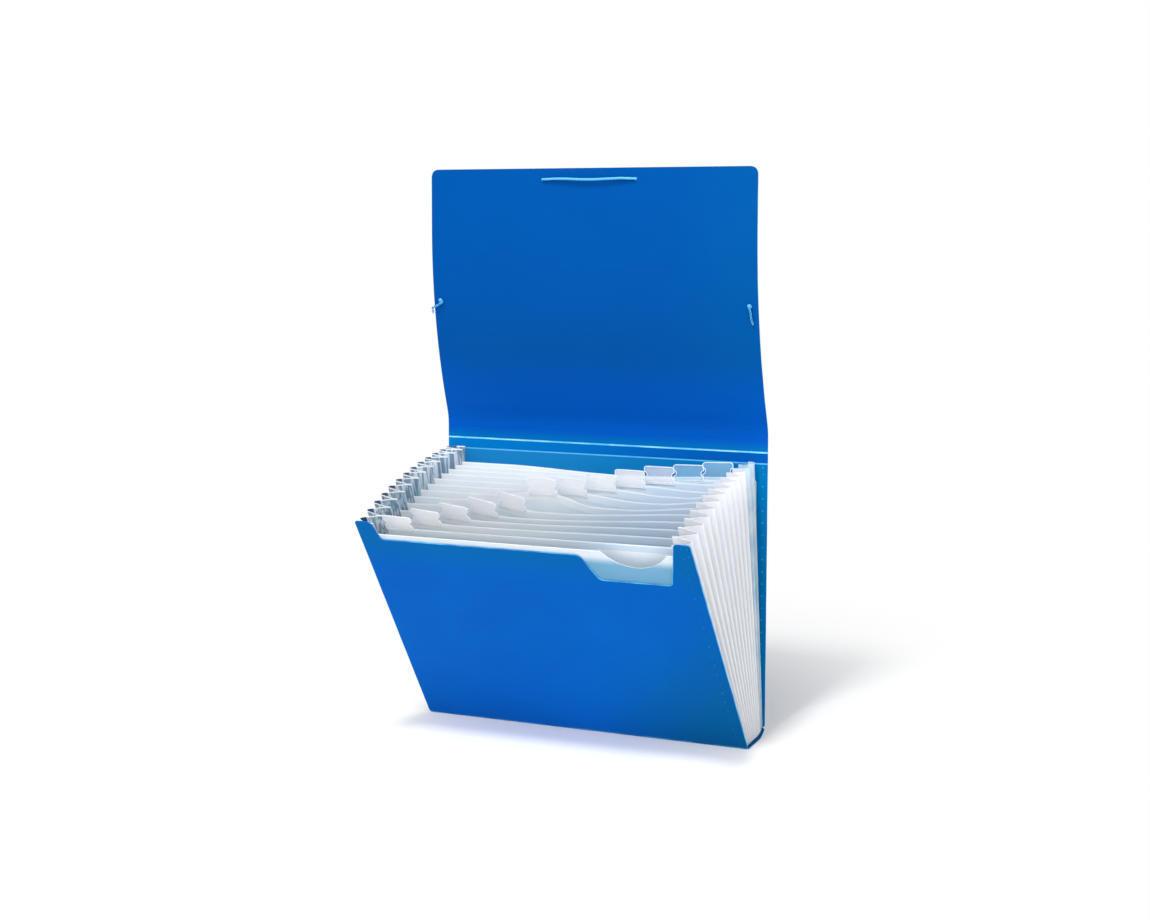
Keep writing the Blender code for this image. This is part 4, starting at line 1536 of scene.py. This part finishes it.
def make_cord(sizes):
    """Elastic cord through the flap's four holes, a knot at each side hole and its tails."""
    radius = sizes.cord / 2
    bm = bmesh.new()
    tube(bm, flap_path(cord_route()), radius)
    for tail in (LEFT_TAIL, RIGHT_TAIL):
        add_twist(bm, flap_path(tail), radius)
    cord = new_piece("elastic_cord_braid", bm, ["elastic"], CORD_SLOT, ["elastic_cord"])
    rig.ride(cord, "lid")
    for word, (x, length) in (("left", CORD_HOLES[0]), ("right", CORD_HOLES[-1])):
        middle = flap_place(x, length, -KNOT_OFFSET)
        out = (middle - flap_place(x, length, 0.0)).normalized()
        up = (flap_place(x, length + 0.001, -KNOT_OFFSET) - middle).normalized()
        bm = bmesh.new()
        tube(bm, knot_points(middle, up, out), radius * KNOT_STRAND_SHARE, KNOT_SIDES, closed=True)
        knot = new_piece(f"cord_knot_{word}_tie", bm, ["elastic"], CORD_SLOT, [f"cord_knot_{word}"])
        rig.ride(knot, "lid")


def dot_row(x, top, count, pitch):
    """Places of a row of weld dots, from the top down."""
    return [(x, top - pitch * number) for number in range(count)]


def make_welds(sizes):
    """Rows of weld dots that hold the pleated film to the covers."""
    front = dot_row(*FRONT_DOT_ROW, sizes.weld_pitch) + EAR_DOTS
    back_right = BACK_TOP_DOTS + dot_row(*BACK_DOT_ROW, sizes.weld_pitch)
    back_left = [(-x, rise) for x, rise in back_right] + LEFT_TOP_DOTS
    for name, index, dots, look in (
        ("front_weld_dots", 0, front, "weld_blue"),
        ("back_weld_dots_right", POCKETS, back_right, "weld_light"),
        ("back_weld_dots_left", POCKETS, back_left, "weld_light"),
    ):
        bm = bmesh.new()
        place = sheet_place(index)
        up = along(sheet_lean(index))
        out = across(sheet_lean(index)) * -1
        for x, rise in dots:
            middle = place(x, rise, -sizes.cover_sheet / 2)
            add_dot(bm, middle, up, out, sizes.weld_dot / 2, WELD_HEIGHT)
        welds = new_piece(name, bm, [look] * 2, COVER_SLOT)
        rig.ride(welds, body_of_sheet(index))


def make_stage():
    """White floor, soft lamps, pale surroundings and the camera."""
    make_floor()
    make_lamps()
    make_surroundings()
    make_camera()
    bpy.context.scene.view_settings.view_transform = "Standard"


def make_floor():
    """Round white floor just under the file."""
    bm = bmesh.new()
    bmesh.ops.create_circle(bm, cap_ends=True, segments=FLOOR_SIDES, radius=FLOOR_RADIUS)
    mesh = bpy.data.meshes.new("floor")
    bm.to_mesh(mesh)
    bm.free()
    mesh.materials.append(finish_of("floor_white"))
    floor = bpy.data.objects.new("floor", mesh)
    floor.location.z = FLOOR_LEVEL
    bpy.context.scene.collection.objects.link(floor)
    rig.stage(floor)


def make_lamps():
    """Square soft lamps, all turned to the middle of the file."""
    for name, place, size, power in LAMPS:
        data = bpy.data.lights.new(name, "AREA")
        data.shape = "SQUARE"
        data.size = size
        data.energy = power
        lamp = bpy.data.objects.new(name, data)
        lamp.location = place
        lamp.rotation_euler = (LAMP_AIM - Vector(place)).to_track_quat("-Z", "Y").to_euler()
        bpy.context.scene.collection.objects.link(lamp)


def make_surroundings():
    """Surroundings that are seen as plain white and give a dimmer, cooler light."""
    world = bpy.data.worlds.new("surroundings")
    world.use_nodes = True
    tree = world.node_tree
    tree.nodes.clear()
    output = tree.nodes.new("ShaderNodeOutputWorld")
    seen = add_node(tree, "ShaderNodeBackground", Color=WHITE, Strength=1.0)
    light = add_node(tree, "ShaderNodeBackground", Color=SKY, Strength=SKY_STRENGTH)
    mixed = mix_shaders(tree, add_seen(tree), light.outputs["Background"], seen.outputs["Background"])
    tree.links.new(mixed, output.inputs["Surface"])
    bpy.context.scene.world = world


def make_camera():
    """Camera at the viewing angle of the photograph."""
    a, e, r = EYE_AZIMUTH, EYE_ELEVATION, EYE_ROLL
    ahead = Vector((-math.sin(a) * math.cos(e), math.cos(a) * math.cos(e), -math.sin(e)))
    level = Vector((math.cos(a), math.sin(a), 0.0))
    upright = level.cross(ahead)
    right = level * math.cos(r) + upright * math.sin(r)
    up = upright * math.cos(r) - level * math.sin(r)
    turn = Matrix((right, up, -ahead)).transposed().to_4x4()
    data = bpy.data.cameras.new("camera")
    data.lens = EYE_LENS
    data.sensor_fit = "HORIZONTAL"
    data.sensor_width = EYE_SENSOR
    data.clip_start = EYE_NEAR
    data.clip_end = EYE_FAR
    camera = bpy.data.objects.new("camera", data)
    camera.matrix_world = Matrix.Translation(EYE) @ turn
    bpy.context.scene.collection.objects.link(camera)
    bpy.context.scene.camera = camera


class MakeStage(bpy.types.Operator):
    """Make the floor, the lamps and the camera."""

    bl_idname = "expanding_file.stage"
    bl_label = "Stage"

    def execute(self, context):
        make_stage()
        return {"FINISHED"}


class MakeCovers(bpy.types.Operator):
    """Make the front cover, the back cover and the bottom spine."""

    bl_idname = "expanding_file.covers"
    bl_label = "Covers and spine"

    def execute(self, context):
        make_covers(context.scene.file_sizes)
        return {"FINISHED"}


class MakeLid(bpy.types.Operator):
    """Make the lid's strips, creases and flap."""

    bl_idname = "expanding_file.lid"
    bl_label = "Lid"

    def execute(self, context):
        make_lid(context.scene.file_sizes)
        return {"FINISHED"}


class MakeWalls(bpy.types.Operator):
    """Make the film walls at the front and the back of the fan."""

    bl_idname = "expanding_file.walls"
    bl_label = "End walls"

    def execute(self, context):
        make_walls(context.scene.file_sizes)
        return {"FINISHED"}


class MakeDividers(bpy.types.Operator):
    """Make the wavy pocket dividers."""

    bl_idname = "expanding_file.dividers"
    bl_label = "Dividers"

    def execute(self, context):
        for index in range(1, POCKETS):
            make_divider(context.scene.file_sizes, index)
        return {"FINISHED"}


class MakeTabs(bpy.types.Operator):
    """Make the index tabs."""

    bl_idname = "expanding_file.tabs"
    bl_label = "Index tabs"

    def execute(self, context):
        for index in range(1, POCKETS):
            make_tab(context.scene.file_sizes, index)
        return {"FINISHED"}


class MakePleats(bpy.types.Operator):
    """Make the pleated sides of the fan."""

    bl_idname = "expanding_file.pleats"
    bl_label = "Pleated sides"

    def execute(self, context):
        make_pleats(context.scene.file_sizes)
        return {"FINISHED"}


class MakeCord(bpy.types.Operator):
    """Make the elastic cord and its knots."""

    bl_idname = "expanding_file.cord"
    bl_label = "Elastic cord"

    def execute(self, context):
        make_cord(context.scene.file_sizes)
        return {"FINISHED"}


class MakeWelds(bpy.types.Operator):
    """Make the rows of weld dots on the covers."""

    bl_idname = "expanding_file.welds"
    bl_label = "Weld dots"

    def execute(self, context):
        make_welds(context.scene.file_sizes)
        return {"FINISHED"}


OPERATORS = (
    MakeStage, MakeCovers, MakeLid, MakeWalls, MakeDividers, MakeTabs, MakePleats, MakeCord, MakeWelds,
)


class FilePanel(bpy.types.Panel):
    """Sizes, colours and steps of the expanding file."""

    bl_idname = "VIEW3D_PT_expanding_file"
    bl_label = "Expanding file"
    bl_space_type = "VIEW_3D"
    bl_region_type = "UI"
    bl_category = "File"

    def draw(self, context):
        for group in (context.scene.file_sizes, context.scene.file_colours):
            box = self.layout.box()
            for name in group.__annotations__:
                box.prop(group, name)
        for operator in OPERATORS:
            self.layout.operator(operator.bl_idname)


CLASSES = (FileSizes, FileColours, *OPERATORS, FilePanel)


def register():
    """Register the classes and hang the property groups on the scene."""
    for item in CLASSES:
        bpy.utils.register_class(item)
    bpy.types.Scene.file_sizes = PointerProperty(type=FileSizes)
    bpy.types.Scene.file_colours = PointerProperty(type=FileColours)


def unregister():
    """Take the property groups and the classes away again."""
    del bpy.types.Scene.file_colours
    del bpy.types.Scene.file_sizes
    for item in reversed(CLASSES):
        bpy.utils.unregister_class(item)


def main():
    """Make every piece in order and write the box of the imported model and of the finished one."""
    register()
    for operator in OPERATORS:
        group, name = operator.bl_idname.split(".")
        getattr(getattr(bpy.ops, group), name)()
    boxes = {
        "cad": [list(corner) for corner in CAD_BOX],
        "visual": [list(corner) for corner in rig.bounds()],
    }
    with open("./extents.json", "w") as file:
        json.dump(boxes, file)


if __name__ == "__main__":
    main()
